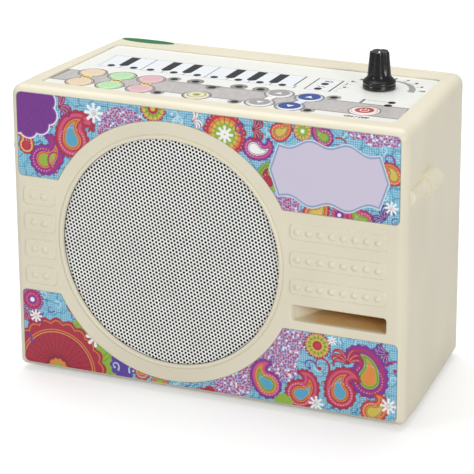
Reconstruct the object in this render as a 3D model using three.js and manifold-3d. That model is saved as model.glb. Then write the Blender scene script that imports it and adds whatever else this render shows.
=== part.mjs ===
// Electronic tanpura: a small mains and battery powered drone instrument in a moulded cabinet.
//
// Millimetres. Seen from the front, +X is to the right, the front faces -Y and +Z is up.
// The origin is the bottom centre of the whole instrument. Inside the cabinet group, y runs
// back from the front face and z runs up from the underside of the cabinet.

import * as THREE from "three";
import { mergeVertices } from "three/addons/utils/BufferGeometryUtils.js";
import Module from "manifold-3d";

const wasm = await Module();
wasm.setup();

// ---- Driving dimensions ----

// Cabinet: the sides narrow a little up to a crease and more strongly behind it.
const cabinet = {
  frontWidth: 232.2,
  creaseWidth: 230,
  rearWidth: 211.8,
  height: 165.4,
  depth: 120.2,
  creaseDepth: 27.1,
  wall: 3,
  frontFillet: 5.7,
  rearFillet: 6,
  topCornerRadius: 6,
  floorCornerRadius: 4,
  coverDepth: 8.2,
};

// General clearances and allowances.
const clearance = 0.3;
const overrun = 1;
const weldDistance = 0.0001;
const sheetThickness = 0.8;
const boardThickness = 1.6;

// Speaker opening in the front, with a raised bead round it.
const speaker = {
  floorMargin: 5.2,
  topMargin: 10.2,
  ringWidth: 10.2,
  beadWidth: 2.8,
  beadRise: 0.7,
  lipDepth: 1.8,
  rebateMargin: 3.2,
  gasketDepth: 4.8,
  gasketWidth: 5,
  flangeMargin: 2.7,
  flangeThickness: 1.5,
  earRadius: 7,
  screwMargin: 7.7,
  pillarRadius: 3.6,
  basketDepth: 36,
  basketWall: 1.4,
  basketBackRadius: 27,
  windowCount: 4,
  windowWidth: 22,
  surroundMargin: 7.8,
  coneNeckRadius: 14,
  coneDepth: 22,
  coneWall: 0.7,
  surroundRise: 2,
  capRadius: 19,
  capRise: 8,
  magnetRadius: 35,
  magnetDepth: 13,
};

// Holes of the speaker grille, coarser than the punched sheet so that they stay few.
const grilleHole = { radius: 4.3, pitch: 13.8, sides: 6 };

// Printed labels, each in a shallow recess of the front face.
const label = {
  leftMargin: 4.5,
  rightMargin: 4.1,
  topMargin: 3.4,
  bottom: 3.2,
  shoulderRise: 34,
  shoulderFall: 33.3,
  cornerRadius: 3,
  recess: 1,
  thickness: 0.4,
};

// Raised grip pads beside the speaker, in rows of one pitch. The bass port takes the fourth row on the right.
const pads = {
  topRowRise: 22.9,
  rowPitch: 15.5,
  leftRows: 4,
  rightRows: 3,
  sideMargin: 7.4,
  leftWidth: 18.8,
  leftGap: 4.5,
  leftHeight: 10.4,
  rightGap: 6.8,
  rightMargin: 9.6,
  rightHeight: 8.8,
  rise: 1,
  bevel: 0.5,
  cornerRadius: 2.6,
  pinRadius: 1.8,
  tipShare: 0.6,
  pinRise: 1.1,
  pinPitch: 6.6,
  pinInset: 4.3,
  leftPins: 2,
  rightPins: 8,
};

// Bass port: a flat duct whose left wall slants in from the mouth.
const port = { height: 8.8, flareInset: 9.5, flareDepth: 21.6, depth: 52, wall: 2, cornerRadius: 1.6 };

// Strap lugs: a stepped round boss along each side, rounded at its rear end.
const lug = { topGap: 37.6, x: 115.2, front: 4, step: 26, rear: 48, neckRadius: 4.4, radius: 7, edge: 0.8 };

// Keypad overlay in the recess of the top.
const overlay = {
  recess: 1.8,
  thickness: 0.6,
  frontEdge: 13,
  rearGap: 11.8,
  frontMargin: 12.2,
  rearMargin: 9,
  cornerRadius: 3,
};

// Round keys, all of one size: a domed cap, a flange under the top and a stem over its switch.
const key = {
  radius: 6.7,
  dome: 0.9,
  rim: 0.4,
  topShare: 0.8,
  flangeRadius: 7.8,
  flangeThickness: 1,
  stemRadius: 2,
  travel: 0.5,
  travelReserve: 0.1,
};

// Key places on the top: x across, y back from the front face.
const upperRowY = 42;
const lowerRowY = 22.8;
const keyPlaces = {
  orange_up: [-85.6, upperRowY],
  orange_down: [-84.2, lowerRowY],
  green_up: [-67.5, upperRowY],
  green_down: [-65.8, lowerRowY],
  pink_up: [-49.6, upperRowY],
  pink_down: [-47.3, lowerRowY],
  yellow: [-13.6, 23.1],
  grey_up: [26.6, 42.8],
  grey_down: [23.2, 23.4],
  blue_up: [44.5, upperRowY],
  blue_down: [40.8, lowerRowY],
  power: [80.6, 30.2],
};
const keyColours = {
  orange: "#f2bf8c",
  green: "#8fdc98",
  pink: "#e58fae",
  yellow: "#ece27a",
  grey: "#a9a5a4",
  blue: "#2c63c6",
  power: "#dd4a3c",
};

// Lamps under the overlay.
const lampRadius = 1.5;
const keyboardLampY = 59;
const lampPlaces = [
  ...[-82.8, -68.7, -58.4, -43.7, -29.5, -19.1, -4.6, 8.2, 21.6].map((x) => [x, keyboardLampY]),
  [-37.6, 47], [-25, 46.9], [-35.5, 19.3], [-12.1, 40.5], [1.3, 46.8], [14.2, 46.4], [10.2, 19.2],
  [56.8, 47.1], [52.3, 19.3], [88.6, 49.2], [88.3, 43],
];

// Control board under the top, on pillars.
const board = {
  drop: 12,
  sideMargin: 2.9,
  front: 10,
  rearMargin: 3.5,
  pillarRadius: 3,
  pillarPlaces: [[-75.3, 14], [5, 14], [86, 14], [-75.8, 58], [1.8, 58], [86, 58]],
  switchWidth: 6,
  switchHeight: 3.6,
  plungerRadius: 1.75,
  plungerHeight: 5,
};

// Volume control: potentiometer under the top, shaft and knob above it.
const volume = {
  sideInset: 33.7,
  rearGap: 25.6,
  bodyRadius: 8.5,
  bodyHeight: 9,
  bushRadius: 3.5,
  bushRise: 3.6,
  nutAcross: 10,
  nutHeight: 1.8,
  shaftRadius: 3,
  shaftLength: 17,
  knobHeight: 20.3,
  skirtRadius: 9.1,
  skirtHeight: 5.4,
  waistRadius: 8.3,
  gripRadius: 6.6,
  topRadius: 5.1,
  fluteCount: 7,
  fluteDepth: 0.9,
  lift: 0.6,
  bore: 3.3,
};

// Long cover screws run into pillars from the rear.
const coverScrew = {
  sideInset: 8.9,
  lowZ: 11.5,
  topInset: 13,
  pillarRadius: 4,
  shankRadius: 1.5,
  shankLength: 18,
  headRadius: 3.3,
  headHeight: 2.4,
  seatDepth: 3.2,
};
const speakerScrew = { shankRadius: 1.3, shankLength: 6, headRadius: 2.8, headHeight: 1.9 };
const slot = { width: 0.9, depthShare: 0.5 };

// Battery bay moulded in the rear cover, for cells that stand side by side.
const cell = { radius: 7.1, length: 49.2, nubRadius: 2.7, nubLength: 1.3, count: 6, gap: 0.8 };
const bay = { floorZ: 16, wall: 2, contactRoom: 2.6, ledge: 2, sideRoom: 0.7, depthRoom: 0.9 };
const contact = { thickness: 0.5, width: 9 };
const door = { thickness: 2.9, pinRadius: 1.15, pinLength: 2.6, socketRadius: 1.45, recess: 0.3, gripRibs: 3 };
const grip = { width: 26, height: 1.2, pitch: 3, rise: 0.5, topInset: 7 };
const socketBoss = { width: 4.6, height: 8 };

// Sockets in the rear cover.
const inlet = {
  sideInset: 23.9,
  z: 27,
  width: 21,
  height: 11.4,
  depth: 17,
  cavityDepth: 12.5,
  cavityRadius: 3.6,
  pinSpacing: 8.6,
  pinRadius: 1.2,
  pinLength: 10,
  flangeWidth: 27,
  flangeHeight: 16,
  flangeThickness: 1.5,
};
const jack = {
  sideInset: 25.9,
  z: 30,
  boreRadius: 3.25,
  boreDepth: 20,
  bushRadius: 4.75,
  bushLength: 5.7,
  bodyWidth: 16,
  bodyDepth: 22,
  cupRadius: 10,
  cupDepth: 4.2,
  cupWall: 2,
  nutAcross: 13,
  nutHeight: 2.2,
};

// Sound board on pillars of the rear cover, with its finned heat sink.
const soundBoard = { halfWidth: 80, bayGap: 14.3, topGap: 19.4, standoff: 10.4, pillarRadius: 3, pillarInset: 5, chipRise: 2.2 };
const heatSink = { x: 50, width: 36, height: 30, base: 2.4, finCount: 7, finDepth: 9, finThickness: 1.4 };
const chip = { width: 14, height: 9, placeShares: [[-0.65, 0.5], [-0.22, 0.57], [0.22, 0.3], [-0.5, 0.2]] };

// Mains transformer and power board on the cabinet floor.
const transformer = {
  sideGap: 1.5,
  rearGap: 6.2,
  width: 42,
  height: 36,
  stack: 17,
  leg: 7,
  coilDepth: 30,
  coilGap: 0.5,
};
const powerBoard = {
  sideGap: 5.5,
  rearGap: 6.1,
  width: 88,
  depth: 30,
  lift: 5,
  pillarRadius: 3,
  pillarInset: 5,
  capRadius: 6.3,
  capHeight: 21,
  capPlaces: [[18, 14], [34, 16]],
  sinkX: 66,
  sinkY: 20,
  sinkWidth: 16,
  sinkHeight: 19,
  sinkThickness: 2,
};

// Rubber feet pushed into the floor.
const foot = { radius: 7, height: 2.5, insetX: 18, insetY: 16, stemRadius: 2.4, stemLength: 4.6, taper: 0.8 };

// ---- Facets ----

const cornerSteps = 3;
const filletSteps = 3;
const ringSides = 48;
const basketSides = 20;
const knobSides = 24;
const keySides = 12;
const smallSides = 8;
const pinSides = 6;
const squareSides = 4;
const lugSides = 14;

// ---- Values that follow from the sizes above ----

const parting = cabinet.depth - cabinet.coverDepth;
const ringRadius = (cabinet.height - speaker.floorMargin - speaker.topMargin) / 2;
const openingRadius = ringRadius - speaker.ringWidth;
const speakerZ = speaker.floorMargin + ringRadius;
const leftPadX = pads.sideMargin + pads.leftWidth / 2 - cabinet.frontWidth / 2;
const speakerX = leftPadX + pads.leftWidth / 2 + pads.leftGap + openingRadius;
const flangeRadius = openingRadius + speaker.flangeMargin;
const screwCircleRadius = openingRadius + speaker.screwMargin;
const coneRadius = openingRadius - speaker.surroundMargin;
const labelLeft = label.leftMargin - cabinet.frontWidth / 2;
const labelRight = cabinet.frontWidth / 2 - label.rightMargin;
const labelTop = cabinet.height - label.topMargin;
const labelShoulder = speakerZ + label.shoulderRise;
const lowerLabelTop = speakerZ - label.shoulderFall;
const padTopRowZ = speakerZ + pads.topRowRise;
const rightPadLeft = speakerX + openingRadius + pads.rightGap;
const rightPadWidth = cabinet.creaseWidth / 2 - pads.rightMargin - rightPadLeft;
const rightPinPitch = (rightPadWidth - pads.pinInset * 2) / (pads.rightPins - 1);
const lugZ = cabinet.height - lug.topGap;
const overlayRear = parting - overlay.rearGap;
const volumeX = cabinet.rearWidth / 2 - volume.sideInset;
const volumeY = overlayRear - volume.rearGap;
const boardHalf = Math.max(...Object.values(keyPlaces).map(([x]) => Math.abs(x))) + board.switchWidth / 2 + board.sideMargin;
const boardRear = keyboardLampY + board.rearMargin;
const coverScrewX = cabinet.rearWidth / 2 - coverScrew.sideInset;
const coverScrewHighZ = cabinet.height - coverScrew.topInset;
const inletX = inlet.sideInset - cabinet.rearWidth / 2;
const jackX = cabinet.rearWidth / 2 - jack.sideInset;
const transformerX = transformer.width / 2 + transformer.sideGap + coverScrew.pillarRadius - coverScrewX;
const transformerY = cabinet.depth - inlet.depth - transformer.rearGap - transformer.coilDepth / 2;
const hexCornerShare = 1 / Math.sqrt(3);
const innerTop = cabinet.height - cabinet.wall;
const overlayTop = cabinet.height - overlay.recess + clearance + overlay.thickness;
const overlayBottom = overlayTop - overlay.thickness;
const boardTop = innerTop - board.drop + boardThickness;
const grilleFront = speaker.lipDepth + clearance;
const grilleBack = grilleFront + sheetThickness;
const grilleRadius = openingRadius + speaker.rebateMargin - clearance;
const gasketFront = grilleBack + clearance;
const gasketBack = gasketFront + speaker.gasketDepth;
const flangeFront = gasketBack + clearance;
const flangeBack = flangeFront + speaker.flangeThickness;
const coverInside = cabinet.depth - cabinet.wall;
const bayHalfWidth = (cell.count * (cell.radius * 2 + cell.gap)) / 2 + bay.sideRoom;
const bayHeight = cell.length + cell.nubLength + bay.contactRoom * 2;
const bayTop = bay.floorZ + bayHeight;
const bayDepth = cell.radius * 2 + bay.depthRoom;
const bayFront = coverInside - bayDepth;
const doorHalfWidth = bayHalfWidth + bay.ledge;
const doorLow = bay.floorZ - bay.ledge;
const doorHigh = bayTop + bay.ledge;
const doorBack = cabinet.depth - door.recess;
const doorFront = doorBack - door.thickness;
const doorAxisY = (doorFront + doorBack) / 2;
const doorAxisZ = doorLow + clearance + door.thickness / 2;
const padProud = pads.rise + pads.pinRise;
const soundBoardY = parting - soundBoard.standoff;
const soundBoardLow = bayTop + soundBoard.bayGap;
const soundBoardHigh = cabinet.height - soundBoard.topGap;
const powerLeft = transformerX + transformer.width / 2 + powerBoard.sideGap;
const powerRear = bayFront - bay.wall - powerBoard.rearGap;
const powerFront = powerRear - powerBoard.depth;

// Half the cabinet's width at a depth behind the front face.
function halfWidthAt(y) {
  const front = cabinet.frontWidth / 2;
  const crease = cabinet.creaseWidth / 2;
  const rear = cabinet.rearWidth / 2;
  if (y < cabinet.creaseDepth) return front + ((crease - front) * y) / cabinet.creaseDepth;
  return crease + ((rear - crease) * (y - cabinet.creaseDepth)) / (cabinet.depth - cabinet.creaseDepth);
}

// ---- Solids ----

// A closed mesh with its shared corners merged becomes a solid.
function toSolid(geometry) {
  const bare = geometry.index ? geometry.toNonIndexed() : geometry.clone();
  bare.deleteAttribute("normal");
  bare.deleteAttribute("uv");
  const merged = mergeVertices(bare, weldDistance);
  const index = merged.index.array;
  const triangles = [];
  for (let i = 0; i < index.length; i += 3) {
    const [a, b, c] = [index[i], index[i + 1], index[i + 2]];
    if (a !== b && b !== c && c !== a) triangles.push(a, b, c);
  }
  const vertProperties = Float32Array.from(merged.getAttribute("position").array);
  const triVerts = Uint32Array.from(triangles);
  return new wasm.Manifold(new wasm.Mesh({ numProp: 3, vertProperties, triVerts }));
}

function toGeometry(solid) {
  const mesh = solid.getMesh();
  const geometry = new THREE.BufferGeometry();
  geometry.setAttribute("position", new THREE.BufferAttribute(Float32Array.from(mesh.vertProperties), 3));
  geometry.setIndex(new THREE.BufferAttribute(Uint32Array.from(mesh.triVerts), 1));
  geometry.computeVertexNormals();
  return geometry;
}

const join = (first, ...others) => others.reduce((sum, other) => sum.add(other), first);
const cut = (first, ...others) => others.reduce((rest, other) => rest.subtract(other), first);

// A box between two opposite corners.
function block([x0, y0, z0], [x1, y1, z1]) {
  const geometry = new THREE.BoxGeometry(x1 - x0, y1 - y0, z1 - z0);
  geometry.translate((x0 + x1) / 2, (y0 + y1) / 2, (z0 + z1) / 2);
  return toSolid(geometry);
}

// A turned solid about the depth axis at (x, z): the profile is pairs of radius and y.
function turnedAlongY(profile, x, z, sides) {
  const points = profile.map(([radius, y]) => new THREE.Vector2(radius, y));
  const geometry = new THREE.LatheGeometry(points, sides);
  geometry.translate(x, 0, z);
  return outward(toSolid(geometry), geometry);
}

// A turned solid about an upright axis at (x, y): the profile is pairs of radius and z.
function turnedUpright(profile, x, y, sides) {
  const points = profile.map(([radius, z]) => new THREE.Vector2(radius, z));
  const geometry = new THREE.LatheGeometry(points, sides);
  geometry.rotateX(Math.PI / 2);
  geometry.translate(x, y, 0);
  return outward(toSolid(geometry), geometry);
}

// A profile listed the other way round turns its faces inwards, so it is turned back here.
function outward(solid, geometry) {
  if (solid.volume() > 0) return solid;
  const flipped = geometry.toNonIndexed();
  const position = flipped.getAttribute("position");
  for (let i = 0; i < position.count; i += 3) {
    const [x, y, z] = [position.getX(i), position.getY(i), position.getZ(i)];
    position.setXYZ(i, position.getX(i + 1), position.getY(i + 1), position.getZ(i + 1));
    position.setXYZ(i + 1, x, y, z);
  }
  return toSolid(flipped);
}

const rodAlongY = (radius, y0, y1, x, z, sides) =>
  turnedAlongY([[0, y0], [radius, y0], [radius, y1], [0, y1]], x, z, sides);
const rodUpright = (radius, z0, z1, x, y, sides) =>
  turnedUpright([[0, z0], [radius, z0], [radius, z1], [0, z1]], x, y, sides);

// A rod along the width, for hinge pins.
function rodAcross(radius, x0, x1, y, z, sides) {
  const geometry = new THREE.CylinderGeometry(radius, radius, x1 - x0, sides);
  geometry.rotateZ(Math.PI / 2);
  geometry.translate((x0 + x1) / 2, y, z);
  return toSolid(geometry);
}

// A flat shape drawn in x and z, made solid from y0 back to y1.
function slabAlongY(shape, y0, y1) {
  const geometry = new THREE.ExtrudeGeometry(shape, { depth: y1 - y0, bevelEnabled: false });
  geometry.rotateX(Math.PI / 2);
  geometry.translate(0, y1, 0);
  return toSolid(geometry);
}

// A flat shape drawn in x and y, made solid from z0 up to z1.
function slabUpright(shape, z0, z1) {
  const geometry = new THREE.ExtrudeGeometry(shape, { depth: z1 - z0, bevelEnabled: false });
  geometry.translate(0, 0, z0);
  return toSolid(geometry);
}

// Points along an arc, in quarter turns from one angle to another.
function arc(cx, cy, radius, fromQuarter, toQuarter, steps) {
  const points = [];
  for (let step = 0; step <= steps; step += 1) {
    const angle = (Math.PI / 2) * (fromQuarter + ((toQuarter - fromQuarter) * step) / steps);
    points.push(new THREE.Vector2(cx + radius * Math.cos(angle), cy + radius * Math.sin(angle)));
  }
  return points;
}

// Corner points of a rounded rectangle in x and z, counterclockwise seen from the front.
function roundedOutline(x0, x1, z0, z1, lowRadius, highRadius, steps) {
  const centres = [
    [x1 - lowRadius, z0 + lowRadius, lowRadius],
    [x1 - highRadius, z1 - highRadius, highRadius],
    [x0 + highRadius, z1 - highRadius, highRadius],
    [x0 + lowRadius, z0 + lowRadius, lowRadius],
  ];
  const points = [];
  centres.forEach(([cx, cz, radius], quarter) => {
    for (let step = 0; step <= steps; step += 1) {
      const angle = (Math.PI / 2) * (quarter - 1 + step / steps);
      points.push([cx + radius * Math.cos(angle), cz + radius * Math.sin(angle)]);
    }
  });
  return points;
}

// A solid through outlines of equal count at rising depths, closed by a fan at each end.
function loft(sections) {
  const count = sections[0].outline.length;
  const positions = [];
  const corner = (section, i) => {
    const [x, z] = section.outline[i % count];
    return [x, section.y, z];
  };
  const middle = (section) => {
    const sum = section.outline.reduce(([sx, sz], [x, z]) => [sx + x, sz + z], [0, 0]);
    return [sum[0] / count, section.y, sum[1] / count];
  };
  const first = sections[0];
  const last = sections[sections.length - 1];
  for (let i = 0; i < count; i += 1) {
    positions.push(...middle(first), ...corner(first, i), ...corner(first, i + 1));
    positions.push(...middle(last), ...corner(last, i + 1), ...corner(last, i));
  }
  for (let k = 0; k + 1 < sections.length; k += 1) {
    for (let i = 0; i < count; i += 1) {
      const [a, b] = [corner(sections[k], i), corner(sections[k], i + 1)];
      const [c, d] = [corner(sections[k + 1], i + 1), corner(sections[k + 1], i)];
      positions.push(...a, ...c, ...b, ...a, ...d, ...c);
    }
  }
  const geometry = new THREE.BufferGeometry();
  geometry.setAttribute("position", new THREE.BufferAttribute(Float32Array.from(positions), 3));
  return toSolid(geometry);
}

// The cabinet's outer section at a depth, drawn in by an inset.
function cabinetSection(y, inset) {
  const half = halfWidthAt(y) - inset;
  const low = Math.max(cabinet.floorCornerRadius - inset, clearance);
  const high = Math.max(cabinet.topCornerRadius - inset, clearance);
  return { y, outline: roundedOutline(-half, half, inset, cabinet.height - inset, low, high, cornerSteps) };
}

// Sections of a rounded edge: the inset falls along a quarter circle as y moves from the face.
function filletSections(face, radius, direction) {
  const sections = [];
  for (let step = 0; step <= filletSteps; step += 1) {
    const angle = ((Math.PI / 2) * step) / filletSteps;
    const depth = radius * (1 - Math.cos(angle));
    sections.push(cabinetSection(face + direction * depth, radius * (1 - Math.sin(angle))));
  }
  return direction > 0 ? sections : sections.reverse();
}

// Puts a finished solid in the scene under its name, with its own finish.
const finishes = {
  abs: { color: "#e3dcc9", roughness: 0.48, metalness: 0 },
  print: { color: "#5db9d8", roughness: 0.4, metalness: 0 },
  film: { color: "#eef0ec", roughness: 0.35, metalness: 0 },
  black: { color: "#16161a", roughness: 0.35, metalness: 0 },
  rubber: { color: "#1d1d1f", roughness: 0.85, metalness: 0 },
  steel: { color: "#c6c9cc", roughness: 0.32, metalness: 1 },
  zinc: { color: "#b9bdc0", roughness: 0.4, metalness: 1 },
  ferrite: { color: "#3b3b3e", roughness: 0.7, metalness: 0 },
  paper: { color: "#232325", roughness: 0.9, metalness: 0 },
  laminate: { color: "#3f6b3c", roughness: 0.55, metalness: 0 },
  winding: { color: "#b7642c", roughness: 0.5, metalness: 0 },
  aluminium: { color: "#b4b7ba", roughness: 0.4, metalness: 1 },
  cellWrap: { color: "#8a8f94", roughness: 0.4, metalness: 0 },
};

const instrument = new THREE.Group();
const body = new THREE.Group();
body.position.set(0, padProud - (cabinet.depth + padProud) / 2, foot.height);
instrument.add(body);

function place(name, solid, finish) {
  const material = new THREE.MeshStandardMaterial(finish);
  const mesh = new THREE.Mesh(toGeometry(solid), material);
  mesh.name = name;
  body.add(mesh);
}

// ---- Front housing ----

// A label is a rounded rectangle whose long edge beside the speaker follows the speaker ring.
function labelShape(low, top, margin, ringAbove) {
  const radius = ringRadius - margin;
  const corner = label.cornerRadius;
  const [x0, x1, z0, z1] = [labelLeft - margin, labelRight + margin, low - margin, top + margin];
  const edge = ringAbove ? z1 : z0;
  const quarter = Math.asin((edge - speakerZ) / radius) / (Math.PI / 2);
  const ringArc = ringAbove
    ? arc(speakerX, speakerZ, radius, quarter, -2 - quarter, ringArcSteps)
    : arc(speakerX, speakerZ, radius, 2 - quarter, quarter, ringArcSteps);
  return new THREE.Shape([
    ...arc(x0 + corner, z0 + corner, corner, 2, 3, cornerSteps),
    ...(ringAbove ? [] : ringArc),
    ...arc(x1 - corner, z0 + corner, corner, 3, 4, cornerSteps),
    ...arc(x1 - corner, z1 - corner, corner, 0, 1, cornerSteps),
    ...(ringAbove ? ringArc : []),
    ...arc(x0 + corner, z1 - corner, corner, 1, 2, cornerSteps),
  ]);
}

const ringArcSteps = 20;
const upperLabelShape = (margin) => labelShape(labelShoulder, labelTop, margin, false);
const lowerLabelShape = (margin) => labelShape(label.bottom, lowerLabelTop, margin, true);

// A pad is a rounded bar with a bevelled face and a row of short pins.
function gripPad(centreX, centreZ, width, height, pinCount, pinPitch) {
  const outline = (inset) =>
    roundedOutline(
      centreX - width / 2 + inset,
      centreX + width / 2 - inset,
      centreZ - height / 2 + inset,
      centreZ + height / 2 - inset,
      pads.cornerRadius - inset,
      pads.cornerRadius - inset,
      3,
    );
  let pad = loft([
    { y: -pads.rise, outline: outline(pads.bevel) },
    { y: pads.bevel - pads.rise, outline: outline(0) },
    { y: overrun, outline: outline(0) },
  ]);
  for (let i = 0; i < pinCount; i += 1) {
    const x = centreX + (i - (pinCount - 1) / 2) * pinPitch;
    const profile = [
      [0, -padProud],
      [pads.pinRadius * pads.tipShare, -padProud],
      [pads.pinRadius, -pads.rise / 2],
      [0, -pads.rise / 2],
    ];
    pad = join(pad, turnedAlongY(profile, x, centreZ, squareSides));
  }
  return pad;
}

function strapLug(side) {
  const dome = [];
  for (let step = 0; step <= filletSteps; step += 1) {
    const angle = ((Math.PI / 2) * step) / filletSteps;
    dome.push([lug.radius * Math.cos(angle), lug.rear - lug.radius + lug.radius * Math.sin(angle)]);
  }
  dome[dome.length - 1][0] = 0;
  const profile = [
    [0, lug.front],
    [lug.neckRadius - lug.edge, lug.front],
    [lug.neckRadius, lug.front + lug.edge],
    [lug.neckRadius, lug.step],
    [lug.radius, lug.step + lug.edge],
    ...dome,
  ];
  return turnedAlongY(profile, side * lug.x, lugZ, lugSides);
}

// The duct's inside at a depth: its left wall slants in from the mouth.
const portCentreZ = padTopRowZ - pads.rightRows * pads.rowPitch;
const portRightX = rightPadLeft + rightPadWidth;
function portSection(y, grow) {
  const share = Math.min(Math.max(y / port.flareDepth, 0), 1);
  const left = rightPadLeft + port.flareInset * share;
  const half = port.height / 2 + grow;
  const radius = port.cornerRadius + grow;
  const outline = roundedOutline(left - grow, portRightX + grow, portCentreZ - half, portCentreZ + half, radius, radius, 3);
  return { y, outline };
}

// Outline of the overlay recess in x and y: it follows the narrowing sides.
function overlayShape(shrink) {
  const front = overlay.frontEdge + shrink;
  const rear = overlayRear - shrink;
  const frontHalf = halfWidthAt(front) - overlay.frontMargin - shrink;
  const rearHalf = halfWidthAt(rear) - overlay.rearMargin - shrink;
  const corner = overlay.cornerRadius;
  return new THREE.Shape([
    ...arc(corner - frontHalf, front + corner, corner, 2, 3, cornerSteps),
    ...arc(frontHalf - corner, front + corner, corner, 3, 4, cornerSteps),
    ...arc(rearHalf - corner, rear - corner, corner, 0, 1, cornerSteps),
    ...arc(corner - rearHalf, rear - corner, corner, 1, 2, cornerSteps),
  ]);
}

const speakerScrewPlaces = [0, 1, 2, 3].map((i) => {
  const angle = (Math.PI / 2) * (i + 0.5);
  return [speakerX + screwCircleRadius * Math.cos(angle), speakerZ + screwCircleRadius * Math.sin(angle)];
});
const coverScrewPlaces = [-1, 1].flatMap((side) => [
  [side * coverScrewX, coverScrew.lowZ],
  [side * coverScrewX, coverScrewHighZ],
]);
const powerPillarPlaces = [powerLeft + powerBoard.pillarInset, powerLeft + powerBoard.width - powerBoard.pillarInset]
  .flatMap((x) => [[x, powerFront + powerBoard.pillarInset], [x, powerRear - powerBoard.pillarInset]]);
const footPlaces = [
  ["front_left", foot.insetX - cabinet.rearWidth / 2, foot.insetY],
  ["front_right", cabinet.rearWidth / 2 - foot.insetX, foot.insetY],
  ["rear_left", foot.insetX - cabinet.rearWidth / 2, parting - foot.insetY],
  ["rear_right", cabinet.rearWidth / 2 - foot.insetX, parting - foot.insetY],
];

function frontHousing() {
  const outside = loft([
    ...filletSections(0, cabinet.frontFillet, 1),
    cabinetSection(cabinet.creaseDepth, 0),
    cabinetSection(parting - clearance, 0),
  ]);
  const inside = loft([
    cabinetSection(cabinet.wall, cabinet.wall),
    cabinetSection(cabinet.creaseDepth, cabinet.wall),
    cabinetSection(parting + overrun, cabinet.wall),
  ]);
  let shell = cut(join(outside, strapLug(-1), strapLug(1)), inside);

  for (let row = 0; row < pads.leftRows; row += 1) {
    const z = padTopRowZ - row * pads.rowPitch;
    shell = join(shell, gripPad(leftPadX, z, pads.leftWidth, pads.leftHeight, pads.leftPins, pads.pinPitch));
  }
  for (let row = 0; row < pads.rightRows; row += 1) {
    const z = padTopRowZ - row * pads.rowPitch;
    const x = rightPadLeft + rightPadWidth / 2;
    shell = join(shell, gripPad(x, z, rightPadWidth, pads.rightHeight, pads.rightPins, rightPinPitch));
  }

  const beadOuter = openingRadius + speaker.beadWidth;
  const bead = turnedAlongY(
    [
      [0, -speaker.beadRise],
      [openingRadius + speaker.beadWidth / 2, -speaker.beadRise],
      [beadOuter, 0],
      [beadOuter, overrun],
      [0, overrun],
    ],
    speakerX,
    speakerZ,
    ringSides,
  );
  const opening = rodAlongY(
    openingRadius, -speaker.beadRise - overrun, cabinet.wall + overrun, speakerX, speakerZ, ringSides);
  const rebate = rodAlongY(
    openingRadius + speaker.rebateMargin, speaker.lipDepth, cabinet.wall + overrun, speakerX, speakerZ, ringSides);
  shell = cut(join(shell, bead), opening, rebate);

  shell = cut(
    shell,
    slabAlongY(upperLabelShape(clearance), -overrun, label.recess),
    slabAlongY(lowerLabelShape(clearance), -overrun, label.recess),
    loft([portSection(-overrun, 0), portSection(0, 0), portSection(cabinet.wall + overrun, 0)]),
    slabUpright(overlayShape(0), cabinet.height - overlay.recess, cabinet.height + overrun),
  );

  const keyHoleRadius = (key.radius + clearance / 2) / Math.cos(Math.PI / smallSides);
  for (const [x, y] of Object.values(keyPlaces)) {
    shell = cut(shell, rodUpright(keyHoleRadius, innerTop - overrun, cabinet.height, x, y, smallSides));
  }
  shell = cut(
    shell,
    rodUpright(volume.bushRadius + clearance, innerTop - overrun, cabinet.height, volumeX, volumeY, keySides));

  for (const [x, z] of speakerScrewPlaces) {
    const pillar = rodAlongY(speaker.pillarRadius, cabinet.wall - clearance, flangeFront - clearance, x, z, smallSides);
    const pilot = rodAlongY(
      speakerScrew.shankRadius + clearance, cabinet.wall, flangeFront, x, z, smallSides);
    shell = cut(join(shell, pillar), pilot);
  }
  for (const [x, z] of coverScrewPlaces) {
    const pillar = rodAlongY(coverScrew.pillarRadius, cabinet.wall - clearance, parting - clearance, x, z, smallSides);
    const pilot = rodAlongY(
      coverScrew.shankRadius + clearance, parting - coverScrew.shankLength, parting, x, z, smallSides);
    shell = cut(join(shell, pillar), pilot);
  }
  for (const [x, y] of board.pillarPlaces) {
    shell = join(shell, rodUpright(board.pillarRadius, boardTop + clearance, innerTop + clearance, x, y, smallSides));
  }
  for (const [x, y] of powerPillarPlaces) {
    const top = cabinet.wall + powerBoard.lift - clearance;
    shell = join(shell, rodUpright(powerBoard.pillarRadius, cabinet.wall - clearance, top, x, y, smallSides));
  }
  for (const [, x, y] of footPlaces) {
    shell = cut(shell, rodUpright(foot.stemRadius + clearance, -overrun, cabinet.wall + overrun, x, y, smallSides));
  }
  return shell;
}

// ---- Labels and overlay ----

function overlaySheet() {
  let sheet = slabUpright(overlayShape(clearance), overlayBottom, overlayTop);
  for (const [x, y] of Object.values(keyPlaces)) {
    sheet = cut(sheet, rodUpright(key.radius + clearance, overlayBottom - overrun, overlayTop + overrun, x, y, keySides));
  }
  return cut(
    sheet,
    rodUpright(volume.bushRadius + clearance, overlayBottom - overrun, overlayTop + overrun, volumeX, volumeY, keySides));
}

// ---- Keys ----

// The stem ends over its switch, farther away than the key can travel.
function roundKey(x, y) {
  const flangeTop = innerTop - clearance;
  const stemBottom = boardTop + board.plungerHeight + key.travel + key.travelReserve;
  const profile = [
    [0, flangeTop - key.flangeThickness],
    [key.flangeRadius, flangeTop - key.flangeThickness],
    [key.flangeRadius, flangeTop],
    [key.radius, flangeTop],
    [key.radius, overlayTop + key.rim],
    [key.radius * key.topShare, overlayTop + key.dome],
    [0, overlayTop + key.dome],
  ];
  const stem = rodUpright(key.stemRadius, stemBottom, flangeTop - clearance, x, y, pinSides);
  return join(turnedUpright(profile, x, y, keySides), stem);
}

// ---- Speaker ----

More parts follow.
